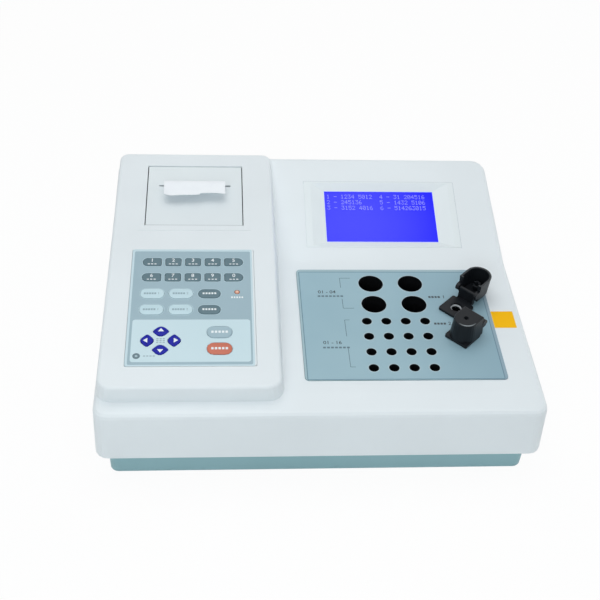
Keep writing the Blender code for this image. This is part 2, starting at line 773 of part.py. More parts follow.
def screw_boss(side, y, low):
    """A boss that leans on the side wall and rests on the tray's flange."""
    levels = []
    near = side * (SCREW_X - SCREW_BOSS_HALF)
    for z in (low, low + SCREW_BOSS_HEIGHT):
        far = side * half_width(z, SKIN / 2)
        outline = rectangle(min(near, far), max(near, far), y - SCREW_BOSS_HALF, y + SCREW_BOSS_HALF)
        levels.append((outline, z))
    return loft(levels)


def flange_top():
    return RIM_LEVEL + FLANGE_LIFT + FLANGE_THICKNESS


def make_housing():
    shell = prism(0, RIM_LEVEL)
    round_edges(shell, on_top_edge, TOP_EDGE, EDGE_STEPS)
    round_edges(shell, lambda edge: lies_level(edge, RIM_LEVEL), RIM_EDGE, 2)
    housing = part(shell, "upper_housing", "white_plastic")
    add(housing, pod_solid(0), pod_frame())
    add(housing, door_rim(), pod_frame())
    cut(housing, prism(SKIN, RIM_LEVEL - OVERRUN))
    cut(housing, pod_solid(SKIN), pod_frame())
    for side, y in screw_places():
        low = flange_top() + GAP
        add(housing, screw_boss(side, y, low))
        through = (low - OVERRUN, low + SCREW_HOLE_DEPTH)
        cut(housing, rod(side * SCREW_X, y, SCREW_HOLE_RADIUS, *through, PIN_STEPS))
    cut_deck(housing)
    cut_display(housing)
    cut_pod(housing)
    cut_back(housing)


def door_rim():
    outline = key_rectangle(DOOR_LEFT - DOOR_RIM, DOOR_RIGHT + DOOR_RIM,
                            DOOR_FRONT - DOOR_RIM, DOOR_REAR + DOOR_RIM, DOOR_RIM_RISE)
    return slab(outline, -SKIN / 2, DOOR_RIM_RISE)


def cut_deck(housing):
    recess = centred(PLATE_CENTRE_X, PLATE_CENTRE_Y, PLATE_WIDTH + 2 * GAP,
                     PLATE_LENGTH + 2 * GAP, PLATE_CORNER + GAP)
    cut(housing, slab(recess, DECK_LEVEL - PLATE_RECESS, DECK_LEVEL + OVERRUN))
    left, right, front, rear = block_span()
    opening = rectangle(left - GAP, right + GAP, front - GAP, rear + GAP)
    through = (DECK_LEVEL - SKIN - OVERRUN, DECK_LEVEL + OVERRUN)
    cut(housing, slab(opening, *through))
    for y in (OPTIC_1_Y, OPTIC_2_Y):
        cut(housing, rod(OPTIC_X, y, OPTIC_HOLE_RADIUS + GAP, *through, PIN_STEPS))


def cut_display(housing):
    pocket = centred(BEZEL_CENTRE_X, BEZEL_CENTRE_Y, BEZEL_WIDTH + 2 * GAP, BEZEL_HEIGHT + 2 * GAP)
    cut(housing, slab(pocket, -BEZEL_POCKET, OVERRUN), display_frame())
    hole = centred(BEZEL_CENTRE_X, BEZEL_CENTRE_Y, BEZEL_WIDTH - 2 * BEZEL_LIP,
                   BEZEL_HEIGHT - 2 * BEZEL_LIP)
    cut(housing, slab(hole, -SKIN - OVERRUN, OVERRUN), display_frame())


def key_rectangle(left, right, front, rear, radius=0.0):
    return rectangle(KEY_DATUM_X + left, KEY_DATUM_X + right, front, rear, radius)


def cut_pod(housing):
    recess = key_rectangle(OVERLAY_LEFT - GAP, OVERLAY_RIGHT + GAP,
                           OVERLAY_FRONT - GAP, OVERLAY_REAR + GAP, OVERLAY_CORNER)
    cut(housing, slab(recess, -OVERLAY_FLOOR, OVERRUN), pod_frame())
    hole = key_rectangle(DOOR_LEFT, DOOR_RIGHT, DOOR_FRONT, DOOR_REAR)
    cut(housing, slab(hole, -SKIN - OVERRUN, OVERRUN), pod_frame())
    y, z = door_axis()
    reach = DOOR_STUB_LENGTH + GAP
    pivot = cross_rod(y, z, DOOR_STUB_RADIUS + PIN_FIT, KEY_DATUM_X + DOOR_LEFT - reach,
                      KEY_DATUM_X + DOOR_RIGHT + reach, PIN_STEPS)
    cut(housing, pivot, pod_frame())


def cut_back(housing):
    frame = panel_frame()
    pocket = centred(0, 0, PANEL_WIDTH + 2 * GAP, PANEL_HEIGHT + 2 * GAP, PANEL_CORNER + GAP)
    cut(housing, slab(pocket, 0, PANEL_POCKET + OVERRUN), frame)
    hole = centred(0, 0, PANEL_WIDTH - 2 * PANEL_LIP, PANEL_HEIGHT - 2 * PANEL_LIP, PANEL_CORNER)
    cut(housing, slab(hole, -SKIN, OVERRUN), frame)


# Base tray and feet

def tray_outline(z, inset, corner):
    lean = TRAY_DRAFT_SHARE * (RIM_LEVEL - z)
    x = TRAY_HALF_WIDTH - lean - inset
    return rectangle(-x, x, TRAY_FRONT + lean + inset, TRAY_BACK - lean - inset, corner)


def foot_places():
    x = TRAY_HALF_WIDTH - FOOT_INSET
    front = TRAY_FRONT + FOOT_INSET
    rear = TRAY_BACK - FOOT_INSET
    return ((-x, front), (x, front), (x, rear), (-x, rear))


def tray_floor():
    return TRAY_BOTTOM + TRAY_WALL


def make_tray():
    corner = TRAY_CORNER
    pan = loft(((tray_outline(TRAY_BOTTOM, 0, corner), TRAY_BOTTOM),
                (tray_outline(flange_top(), 0, corner), flange_top())))
    round_edges(pan, lambda edge: lies_level(edge, TRAY_BOTTOM), TRAY_BOTTOM_EDGE, 2)
    tray = part(pan, "base_tray", "teal_plastic")
    low = RIM_LEVEL + FLANGE_LIFT
    x = half_width(flange_top(), SKIN) - GAP
    front = BODY_FRONT - DRAFT_SHARE * (DECK_LEVEL - flange_top()) + SKIN + GAP
    flange = rectangle(-x, x, front, BODY_BACK - SKIN - GAP, BACK_CORNER)
    add(tray, slab(flange, low, flange_top()))
    inside = loft(((tray_outline(tray_floor(), TRAY_WALL, corner - TRAY_WALL), tray_floor()),
                   (tray_outline(flange_top() + OVERRUN, TRAY_WALL, corner - TRAY_WALL),
                    flange_top() + OVERRUN)))
    cut(tray, inside)
    for x, y in foot_places():
        cut(tray, rod(x, y, FOOT_STEM_RADIUS + GAP, 0, tray_floor() + OVERRUN, PIN_STEPS))
    for side, y in screw_places():
        cut(tray, rod(side * SCREW_X, y, SCREW_HOLE_RADIUS + GAP, 0, flange_top() + OVERRUN, PIN_STEPS))
    for x, y in post_places():
        add(tray, rod(x, y, POST_RADIUS, TRAY_BOTTOM + TRAY_WALL / 2, block_bottom() - GAP, PIN_STEPS))
    for x, y in standoff_places():
        top = tray_floor() + BOARD_LIFT - GAP
        add(tray, rod(x, y, STANDOFF_RADIUS, TRAY_BOTTOM + TRAY_WALL / 2, top, PIN_STEPS))
    cut_vents(tray)


def cut_vents(tray):
    for side in (-1, 1):
        for index in range(VENT_COUNT):
            y = VENT_Y + (index - (VENT_COUNT - 1) / 2) * VENT_PITCH
            outline = centred(side * VENT_X, y, VENT_LENGTH, VENT_WIDTH)
            cut(tray, slab(outline, 0, tray_floor() + OVERRUN))


def make_feet():
    top = FOOT_HEIGHT + FOOT_STEM_LENGTH
    for index, (x, y) in enumerate(foot_places()):
        profile = ((0, 0), (FOOT_RADIUS, 0), (FOOT_RADIUS, FOOT_HEIGHT), (FOOT_STEM_RADIUS, FOOT_HEIGHT),
                   (FOOT_STEM_RADIUS, top), (0, top))
        part(turned(profile, WELL_STEPS), "foot_%d" % (index + 1), "grey_rubber",
             Matrix.Translation((x, y, 0)))


# Sample deck

def vial_places():
    return [(VIAL_X + column * VIAL_PITCH_X, VIAL_Y + row * VIAL_PITCH_Y)
            for row in range(2) for column in range(2)]


def tube_places():
    return [(TUBE_X + column * TUBE_PITCH_X, TUBE_Y + row * TUBE_PITCH_Y)
            for row in range(TUBE_ROWS) for column in range(TUBE_COLUMNS)]


def block_span():
    tubes = (TUBE_X - TUBE_HOLE_RADIUS, TUBE_X + (TUBE_COLUMNS - 1) * TUBE_PITCH_X + TUBE_HOLE_RADIUS)
    vials = (VIAL_X - VIAL_HOLE_RADIUS, VIAL_X + VIAL_PITCH_X + VIAL_HOLE_RADIUS)
    left = min(tubes[0], vials[0]) - BLOCK_MARGIN_X
    right = max(tubes[1], vials[1]) + BLOCK_MARGIN_X
    front = TUBE_Y - TUBE_HOLE_RADIUS - BLOCK_MARGIN_FRONT
    rear = VIAL_Y + VIAL_PITCH_Y + VIAL_HOLE_RADIUS + BLOCK_MARGIN_REAR
    return left, right, front, rear


def block_parting():
    tubes = TUBE_Y + (TUBE_ROWS - 1) * TUBE_PITCH_Y + TUBE_HOLE_RADIUS
    vials = VIAL_Y - VIAL_HOLE_RADIUS
    return (tubes + vials) / 2


def block_top():
    return plate_underside() - GAP


def block_bottom():
    return block_top() - BLOCK_HEIGHT


def post_places():
    left, right, front, rear = block_span()
    split = block_parting()
    return [(x, y) for x in (left + POST_INSET, right - POST_INSET)
            for y in (front + POST_INSET, split - POST_INSET, split + POST_INSET, rear - POST_INSET)]


def make_plate():
    outline = centred(PLATE_CENTRE_X, PLATE_CENTRE_Y, PLATE_WIDTH, PLATE_LENGTH, PLATE_CORNER)
    plate = part(slab(outline, plate_underside(), plate_top()), "deck_plate", "plate_blue")
    low = plate_underside() - OVERRUN
    high = plate_top() + OVERRUN
    holes = [rod(x, y, VIAL_HOLE_RADIUS, low, high) for x, y in vial_places()]
    holes += [rod(x, y, TUBE_HOLE_RADIUS, low, high, WELL_STEPS) for x, y in tube_places()]
    holes += [rod(OPTIC_X, y, OPTIC_HOLE_RADIUS + GAP, low, high, WELL_STEPS)
              for y in (OPTIC_1_Y, OPTIC_2_Y)]
    cut(plate, merged(*holes))


def make_blocks():
    left, right, front, rear = block_span()
    split = block_parting()
    floor = block_top() - WELL_DEPTH
    spans = (("vial_block", split + GAP / 2, rear, vial_places(), VIAL_HOLE_RADIUS, ROUND_STEPS),
             ("tube_block", front, split - GAP / 2, tube_places(), TUBE_HOLE_RADIUS, WELL_STEPS))
    for name, low, high, places, radius, steps in spans:
        block = part(slab(rectangle(left, right, low, high), block_bottom(), block_top()),
                     name, "black_block")
        cut(block, merged(*[rod(x, y, radius, floor, block_top() + OVERRUN, steps)
                            for x, y in places]))


# Optic channels

def make_optics():
    for index, y in ((1, OPTIC_1_Y), (2, OPTIC_2_Y)):
        frame = optic_frame(y)
        make_optic_base(index, frame)
        make_sleeve(index, frame)
        make_hinge_pin(index, frame)
        make_cap(index, frame, index == 1)


def make_optic_base(index, frame):
    half = OPTIC_BASE_HALF
    low = GAP
    far = HINGE_Y + HINGE_PLATE_THICKNESS / 2
    wide = HINGE_PLATE_HALF_WIDTH
    corners = ((-half, -half), (half, -half), (half, half), (wide, half), (wide, far),
               (-wide, far), (-wide, half), (-half, half))
    curved = (OPTIC_BASE_CORNER,) * 3
    outline = rounded(corners, curved + (0, 0, 0, 0) + curved[:1])
    base = part(slab(outline, low, low + OPTIC_BASE_THICKNESS), "optic_%d_base" % index,
                "black_plastic", frame)
    near = HINGE_Y - HINGE_PLATE_THICKNESS / 2
    upright = arc(HINGE_Y, HINGE_Z, HINGE_PLATE_THICKNESS / 2, 0, 180, PIN_STEPS // 2)
    upright += [Vector((near, low + OPTIC_BASE_THICKNESS / 2)), Vector((far, low + OPTIC_BASE_THICKNESS / 2))]
    add(base, side_slab(upright, -wide, wide))
    cut(base, cross_rod(HINGE_Y, HINGE_Z, HINGE_PIN_RADIUS + PIN_FIT,
                        -wide - OVERRUN, wide + OVERRUN, PIN_STEPS))
    cut(base, rod(0, 0, OPTIC_HOLE_RADIUS, low - OVERRUN, low + OPTIC_BASE_THICKNESS + OVERRUN, WELL_STEPS))


def make_sleeve(index, frame):
    outer = OPTIC_HOLE_RADIUS - GAP
    top = GAP + OPTIC_BASE_THICKNESS - SLEEVE_RECESS
    profile = ((0, -SLEEVE_DEPTH), (outer, -SLEEVE_DEPTH), (outer, top), (CUVETTE_RADIUS, top),
               (CUVETTE_RADIUS, SLEEVE_FLOOR - SLEEVE_DEPTH), (0, SLEEVE_FLOOR - SLEEVE_DEPTH))
    part(turned(profile, WELL_STEPS), "optic_%d_sleeve" % index, "bright_metal", frame)


def ear_span():
    inner = HINGE_PLATE_HALF_WIDTH + GAP
    return inner, inner + EAR_THICKNESS


def make_hinge_pin(index, frame):
    reach = ear_span()[1]
    pin = cross_rod(HINGE_Y, HINGE_Z, HINGE_PIN_RADIUS, -reach, reach, PIN_STEPS)
    part(pin, "optic_%d_pin" % index, "bright_metal", frame)


def cap_outline(radius, flat):
    """A half round towards the front, closed by straight sides and a flat at the hinge."""
    points = arc(0, 0, radius, 180, 360, WELL_STEPS)
    return points + [Vector((radius, flat)), Vector((-radius, flat))]


def make_cap(index, frame, is_open):
    """The cap is modelled closed about its hinge, and the open one is turned over."""
    axis = Matrix.Translation((0, HINGE_Y, HINGE_Z))
    if is_open:
        axis = axis @ Matrix.Rotation(pi, 4, "X")
    low = GAP + OPTIC_BASE_THICKNESS + GAP - HINGE_Z
    high = low + CAP_HEIGHT
    shift = Matrix.Translation((0, -HINGE_Y, 0))
    shell = loft(((cap_outline(CAP_MOUTH_RADIUS, CAP_FLAT_Y), low),
                  (cap_outline(CAP_TOP_RADIUS, CAP_FLAT_Y), high)))
    round_edges(shell, lambda edge: lies_level(edge, high), CAP_EDGE, 2)
    cap = part(moved(shell, shift), "optic_%d_cap" % index, "black_plastic", frame @ axis)
    inner = loft(((cap_outline(CAP_MOUTH_RADIUS - CAP_WALL, CAP_FLAT_Y - CAP_WALL), low - OVERRUN),
                  (cap_outline(CAP_TOP_RADIUS - CAP_WALL, CAP_FLAT_Y - CAP_WALL), high - CAP_ROOF)))
    cut(cap, moved(inner, shift))
    guide = rod(0, 0, CAP_GUIDE_RADIUS, high - CAP_ROOF - CAP_GUIDE_LENGTH, high - CAP_ROOF / 2, PIN_STEPS)
    add(cap, moved(guide, shift))
    near, far = ear_span()
    for side in (-1, 1):
        left, right = sorted((side * near, side * far))
        root = CAP_FLAT_Y - CAP_WALL / 2 - HINGE_Y
        ear = arc(0, 0, EAR_RADIUS, -90, 90, WELL_STEPS // 2)
        ear += [Vector((root, EAR_RADIUS)), Vector((root, -EAR_RADIUS))]
        add(cap, side_slab(ear, left, right))
    cut(cap, cross_rod(0, 0, HINGE_PIN_RADIUS + PIN_FIT, -far - OVERRUN, far + OVERRUN, PIN_STEPS))
    notch_top = HINGE_PLATE_THICKNESS / 2 + NOTCH_RISE
    notch = rectangle(-near, near, 0, CAP_FLAT_Y + OVERRUN)
    cut(cap, moved(slab(notch, low - OVERRUN, notch_top), shift))
    hole = rod(0, 0, CAP_HOLE_RADIUS, low, high + OVERRUN, PIN_STEPS)
    cut(cap, moved(hole, shift))
    hole = rod(0, 0, CAP_MOUTH_HOLE_RADIUS, high - CAP_MOUTH_HOLE_DEPTH, high + OVERRUN, PIN_STEPS)
    cut(cap, moved(hole, shift))


# Display

def bezel_inset(left, right, front, rear):
    """A rectangle set in from the bezel's outline by four amounts."""
    x, y = BEZEL_WIDTH / 2, BEZEL_HEIGHT / 2
    return rectangle(BEZEL_CENTRE_X - x + left, BEZEL_CENTRE_X + x - right,
                     BEZEL_CENTRE_Y - y + front, BEZEL_CENTRE_Y + y - rear)


def window_margin(margin):
    return bezel_inset(WINDOW_LEFT - margin, WINDOW_RIGHT - margin,
                       WINDOW_FRONT - margin, WINDOW_REAR - margin)


def make_display():
    frame = display_frame()
    x, y = BEZEL_CENTRE_X, BEZEL_CENTRE_Y
    seat = -BEZEL_POCKET + GAP
    plate = slab(centred(x, y, BEZEL_WIDTH, BEZEL_HEIGHT), seat, BEZEL_PROUD)
    round_edges(plate, lambda edge: lies_level(edge, BEZEL_PROUD), BEZEL_PROUD, 1)
    bezel = part(plate, "display_bezel", "white_plastic", frame)
    trim = 2 * (BEZEL_LIP + GAP)
    add(bezel, slab(centred(x, y, BEZEL_WIDTH - trim, BEZEL_HEIGHT - trim), -BEZEL_BACK, seat / 2))
    window = bezel_inset(WINDOW_LEFT, WINDOW_RIGHT, WINDOW_FRONT, WINDOW_REAR)
    mouth = bezel_inset(BEVEL_LEFT, BEVEL_RIGHT, BEVEL_FRONT, BEVEL_REAR)
    cut(bezel, loft(((window, -WINDOW_DEPTH), (mouth, BEZEL_PROUD), (mouth, OVERRUN))))
    cut(bezel, slab(window, -BEZEL_BACK - OVERRUN, 0))
    glass_top = -BEZEL_BACK - GAP
    glass = window_margin(LCD_MARGIN)
    part(slab(glass, glass_top - LCD_THICKNESS, glass_top), "lcd_panel", "lcd_glass", frame)
    board = window_margin(LCD_BOARD_MARGIN)
    board_top = glass_top - LCD_THICKNESS - GAP
    part(slab(board, board_top - LCD_BOARD_THICKNESS, board_top), "lcd_board", "board_green", frame)


# Keypad

def digit_columns():
    inner = [DIGIT_X + DIGIT_END_PITCH + step * DIGIT_PITCH for step in range(DIGIT_COUNT - 2)]
    return [DIGIT_X] + inner + [DIGIT_LAST_X]


def key_table():
    """Gives each key's name, centre and outline about that centre."""
    keys = []
    last = DIGIT_COUNT - 1
    for row, y in enumerate((DIGIT_HIGH_Y, DIGIT_LOW_Y)):
        for column, x in enumerate(digit_columns()):
            wide = DIGIT_END_WIDTH if column in (0, last) else DIGIT_WIDTH
            blunt = DIGIT_DEPTH / 2 - KEY_EDGE
            left = blunt if column == 0 else DIGIT_CORNER
            right = blunt if column == last else DIGIT_CORNER
            shape = key_shape(wide, DIGIT_DEPTH, left, right)
            keys.append(("digit_key_%d%d" % (row + 1, column + 1), x, y, shape))
    for row, y in enumerate((FUNCTION_HIGH_Y, FUNCTION_LOW_Y)):
        for column, x in enumerate((FUNCTION_X, FUNCTION_X + FUNCTION_WIDTH + FUNCTION_GAP_X)):
            shape = pill(FUNCTION_WIDTH, FUNCTION_DEPTH)
            keys.append(("function_key_%d%d" % (row + 1, column + 1), x, y, shape))
        keys.append(("service_key_%d" % (row + 1), SERVICE_X, y, pill(SERVICE_WIDTH, SERVICE_DEPTH)))
    flat = leaf(ARROW_LONG, ARROW_SHORT)
    tall = [Vector((point.y, -point.x)) for point in flat]
    for name, x, y, outline in (("up", 0, ARROW_STEP_Y, flat), ("down", 0, -ARROW_STEP_Y, flat),
                                ("left", -ARROW_STEP_X, 0, tall), ("right", ARROW_STEP_X, 0, tall)):
        keys.append(("arrow_key_" + name, ARROW_X + x, ARROW_Y + y, outline))
    for row, y in enumerate((COMMAND_HIGH_Y, COMMAND_LOW_Y)):
        keys.append(("command_key_%d" % (row + 1), COMMAND_X, y, pill(COMMAND_WIDTH, COMMAND_DEPTH)))
    return keys


def key_shape(width, depth, left, right):
    x, y = width / 2, depth / 2
    return rounded(((-x, -y), (x, -y), (x, y), (-x, y)), (left, right, right, left), EDGE_STEPS)


def pill(width, depth):
    blunt = depth / 2 - KEY_EDGE
    return key_shape(width, depth, blunt, blunt)


def leaf(width, depth):
    """A rounded lozenge, its sizes taken between its sharp corners."""
    x, y = width / 2, depth / 2
    return rounded(((-x, 0), (0, -y), (x, 0), (0, y)),
                   (ARROW_POINT, ARROW_BACK, ARROW_POINT, ARROW_BACK), EDGE_STEPS)


def grown(outline, margin):
    """Moves each point of an outline outwards, square to its two neighbours."""
    points = []
    for index, point in enumerate(outline):
        along = (outline[(index + 1) % len(outline)] - outline[index - 1]).normalized()
        points.append(point + Vector((along.y, -along.x)) * margin)
    return points


def make_keypad():
    frame = pod_frame()
    sheet = key_rectangle(OVERLAY_LEFT, OVERLAY_RIGHT, OVERLAY_FRONT, OVERLAY_REAR, OVERLAY_CORNER)
    low = -OVERLAY_FLOOR + GAP
    overlay = part(slab(sheet, low, OVERLAY_PROUD), "keypad_overlay", "keypad_film", frame)
    holes = []
    for name, x, y, outline in key_table():
        shift = Vector((KEY_DATUM_X + x, y))
        holes.append(slab([point + shift for point in grown(outline, KEY_FIT)],
                          low - OVERRUN, OVERLAY_PROUD + OVERRUN))
        key = slab(outline, KEY_PROUD - KEY_HEIGHT, KEY_PROUD)
        round_edges(key, lambda edge: lies_level(edge, KEY_PROUD), KEY_EDGE, 1)
        part(key, name, "key_film", frame @ Matrix.Translation((shift.x, shift.y, 0)))
    x = KEY_DATUM_X + LAMP_X
    holes.append(rod(x, LAMP_Y, LAMP_RADIUS + GAP, low - OVERRUN, OVERLAY_PROUD + OVERRUN, PIN_STEPS))
    cut(overlay, merged(*holes))
    lamp = ((0, low), (LAMP_RADIUS, low), (LAMP_RADIUS, OVERLAY_PROUD), (LAMP_RADIUS / 2, KEY_PROUD),
            (0, KEY_PROUD))
    part(turned(lamp, PIN_STEPS), "status_lamp", "lamp_orange", frame @ Matrix.Translation((x, LAMP_Y, 0)))


# Printer

def door_axis():
    return DOOR_REAR - GAP - DOOR_BARREL, -DOOR_BARREL


def make_door():
    frame = pod_frame()
    y, z = door_axis()
    axis = frame @ Matrix.Translation((0, y, z))
    left = KEY_DATUM_X + DOOR_LEFT + DOOR_SIDE_GAP
    right = KEY_DATUM_X + DOOR_RIGHT - DOOR_SIDE_GAP
    leaf_low = -DOOR_THICKNESS - z
    barrel = arc(0, 0, DOOR_BARREL, 90, -90, PIN_STEPS // 2)
    front = DOOR_FRONT + GAP - y
    profile = barrel + [Vector((0, leaf_low)), Vector((front, leaf_low)), Vector((front, -z))]
    door = part(side_slab(profile, left, right), "printer_door", "white_plastic", axis)
    reach = DOOR_SIDE_GAP + DOOR_STUB_LENGTH
    add(door, cross_rod(0, 0, DOOR_STUB_RADIUS, left - reach, right + reach, PIN_STEPS))
    inset = DOOR_RIB_INSET
    for x in (left + inset, right - inset):
        rib = rectangle(x - BAY_WALL / 2, x + BAY_WALL / 2, DOOR_FRONT - y + inset, -inset)
        add(door, slab(rib, leaf_low - DOOR_RIB_HEIGHT, leaf_low / 2))
    middle = (left + right) / 2
    slot = centred(middle, SLOT_Y - y, SLOT_WIDTH, SLOT_OPENING)
    cut(door, slab(slot, leaf_low - OVERRUN, -z + OVERRUN))


def paper_path():
    """The strip's side view (y, z): up out of the slot, over in an arc and down at the torn end."""
    points = [(SLOT_Y, -PAPER_ROOT), (SLOT_Y, PAPER_RISE)]
    centre_y = SLOT_Y - PAPER_RADIUS
    for step in range(1, PAPER_STEPS + 1):
        angle = radians(PAPER_TURN) * step / PAPER_STEPS
        points.append((centre_y + PAPER_RADIUS * cos(angle), PAPER_RISE + PAPER_RADIUS * sin(angle)))
    angle = radians(PAPER_TURN)
    y, z = points[-1]
    points.append((y - PAPER_TAIL * sin(angle), z + PAPER_TAIL * cos(angle)))
    return points


def make_paper():
    path = [Vector(point) for point in paper_path()]
    front, back = [], []
    for index, point in enumerate(path):
        before = path[max(index - 1, 0)]
        after = path[min(index + 1, len(path) - 1)]
        along = (after - before).normalized()
        across = Vector((along.y, -along.x)) * PAPER_THICKNESS / 2
        front.append(point + across)
        back.append(point - across)
    made = bmesh.new()
    middle = KEY_DATUM_X + (DOOR_LEFT + DOOR_RIGHT) / 2
    rings = []
    for x in (middle - PAPER_WIDTH / 2, middle + PAPER_WIDTH / 2):
        rings.append([made.verts.new((x, point.x, point.y)) for point in front + back[::-1]])
    count = len(rings[0])
    for index in range(count):
        following = (index + 1) % count
        made.faces.new((rings[0][index], rings[0][following], rings[1][following], rings[1][index]))
    for ring in rings:
        for index in range(len(path) - 1):
            made.faces.new((ring[index], ring[index + 1], ring[count - 2 - index], ring[count - 1 - index]))
    bmesh.ops.recalc_face_normals(made, faces=made.faces)
    part(made, "paper_strip", "white_paper", pod_frame())


def bay_span():
    return (KEY_DATUM_X + DOOR_LEFT - BAY_MARGIN, KEY_DATUM_X + DOOR_RIGHT + BAY_MARGIN,
            DOOR_FRONT - BAY_MARGIN, DOOR_REAR + BAY_MARGIN)


def make_bay():
    frame = pod_frame()
    left, right, front, rear = bay_span()
    top = -SKIN - GAP
    box = slab(rectangle(left, right, front, rear), -BAY_DEPTH, top)
    bay = part(box, "printer_bay", "black_plastic", frame)
    wall = BAY_WALL
    cut(bay, slab(rectangle(left + wall, right - wall, front + wall, rear - wall),
                  wall - BAY_DEPTH, top + OVERRUN))
    middle = (left + right) / 2
    for side in (-1, 1):
        near = middle + side * (ROLL_WIDTH / 2 + GAP)
        far = near + side * wall
        cheek = rectangle(min(near, far), max(near, far), front + wall / 2, ROLL_Y + ROLL_CORE + wall)
        add(bay, slab(cheek, wall / 2 - BAY_DEPTH, ROLL_Z + SPINDLE_STUB))
        near = middle + side * (PLATEN_LENGTH / 2 + GAP)
        far = near + side * wall
        plate = rectangle(min(near, far), max(near, far), PLATEN_Y - PLATEN_RADIUS, rear - wall / 2)
        add(bay, slab(plate, wall / 2 - BAY_DEPTH, PLATEN_Z + PLATEN_RADIUS))
    fork = SPINDLE_STUB / 2 + PIN_FIT
    inner = middle - ROLL_WIDTH / 2 - wall - OVERRUN
    outer = middle + ROLL_WIDTH / 2 + wall + OVERRUN
    cut(bay, cross_rod(ROLL_Y, ROLL_Z, fork, inner, outer, PIN_STEPS))
    cut(bay, slab(rectangle(inner, outer, ROLL_Y - fork, ROLL_Y + fork), ROLL_Z, ROLL_Z + 2 * SPINDLE_STUB))
    hole = PLATEN_SHAFT + PIN_FIT
    reach = PLATEN_LENGTH / 2 + wall + OVERRUN
    cut(bay, cross_rod(PLATEN_Y, PLATEN_Z, hole, middle - reach, middle + reach, PIN_STEPS))


def make_roll():
    frame = pod_frame()
    middle = KEY_DATUM_X + (DOOR_LEFT + DOOR_RIGHT) / 2
    half = ROLL_WIDTH / 2 - GAP
    axis = frame @ Matrix.Translation((middle, ROLL_Y, ROLL_Z)) @ Matrix.Rotation(pi / 2, 4, "Y")
    ring = ((ROLL_CORE, -half), (ROLL_RADIUS, -half), (ROLL_RADIUS, half), (ROLL_CORE, half))
    part(turned(ring, ROUND_STEPS), "paper_roll", "white_paper", axis)
    tip = ROLL_WIDTH / 2 + BAY_WALL
    thin = SPINDLE_STUB / 2
    core = ROLL_CORE - GAP
    stick = ((0, -tip), (thin, -tip), (thin, -half), (core, -half), (core, half), (thin, half),
             (thin, tip), (0, tip))
    part(turned(stick, PIN_STEPS), "paper_spindle", "black_plastic", axis)


def gear_outline():
    points = []
    for index in range(4 * GEAR_TEETH):
        angle = 2 * pi * index / (4 * GEAR_TEETH)
        radius = GEAR_RADIUS if index % 4 < 2 else GEAR_RADIUS * GEAR_ROOT_SHARE
        points.append(Vector((radius * cos(angle), radius * sin(angle))))
    return points


def make_platen():
    frame = pod_frame()
    middle = KEY_DATUM_X + (DOOR_LEFT + DOOR_RIGHT) / 2
    axis = frame @ Matrix.Translation((middle, PLATEN_Y, PLATEN_Z)) @ Matrix.Rotation(pi / 2, 4, "Y")
    half = PLATEN_LENGTH / 2
    inner = half + GAP + BAY_WALL + GAP
    gear_end = inner + GEAR_WIDTH
    roller = ((0, -inner), (PLATEN_SHAFT, -inner), (PLATEN_SHAFT, -half), (PLATEN_RADIUS, -half),
              (PLATEN_RADIUS, half), (PLATEN_SHAFT, half), (PLATEN_SHAFT, gear_end), (0, gear_end))
    platen = part(turned(roller, WELL_STEPS), "platen_roller", "grey_rubber", axis)
    add(platen, slab(gear_outline(), inner, gear_end))


def make_head():
    frame = pod_frame()
    middle = KEY_DATUM_X + (DOOR_LEFT + DOOR_RIGHT) / 2
    far = PLATEN_Y - PLATEN_RADIUS - HEAD_CLEAR
    top = PLATEN_Z + HEAD_THICKNESS / 2
    width = PLATEN_LENGTH - 2 * HEAD_CLEAR
    bar = slab(rectangle(middle - width / 2, middle + width / 2, far - HEAD_THICKNESS, far),
               BAY_WALL + GAP - BAY_DEPTH, top)
    part(bar, "print_head", "bright_metal", frame)


# Rear panel

def make_panel():
    frame = panel_frame()
    sheet = centred(0, 0, PANEL_WIDTH, PANEL_HEIGHT, PANEL_CORNER)
    panel = part(slab(sheet, GAP, panel_face()), "rear_panel", "panel_metal", frame)
    holes = [centred(PANEL_CENTRE_X - INLET_X, 0, INLET_BODY_WIDTH + 2 * GAP, INLET_BODY_HEIGHT + 2 * GAP),
             centred(PANEL_CENTRE_X - PORT_X, 0, PORT_SHELL_WIDTH + 2 * GAP, PORT_SHELL_HEIGHT + 2 * GAP)]
    for index in range(PANEL_SLOTS):
        x = PANEL_CENTRE_X - PANEL_SLOT_X + (index - (PANEL_SLOTS - 1) / 2) * PANEL_SLOT_PITCH
        holes.append(centred(x, 0, PANEL_SLOT_WIDTH, PANEL_SLOT_HEIGHT))
    cut(panel, merged(*[slab(hole, -OVERRUN, panel_face() + OVERRUN) for hole in holes]))
    make_inlet(frame)
    make_rocker(frame)
    make_port(frame)


def panel_face():
    return GAP + PANEL_THICKNESS


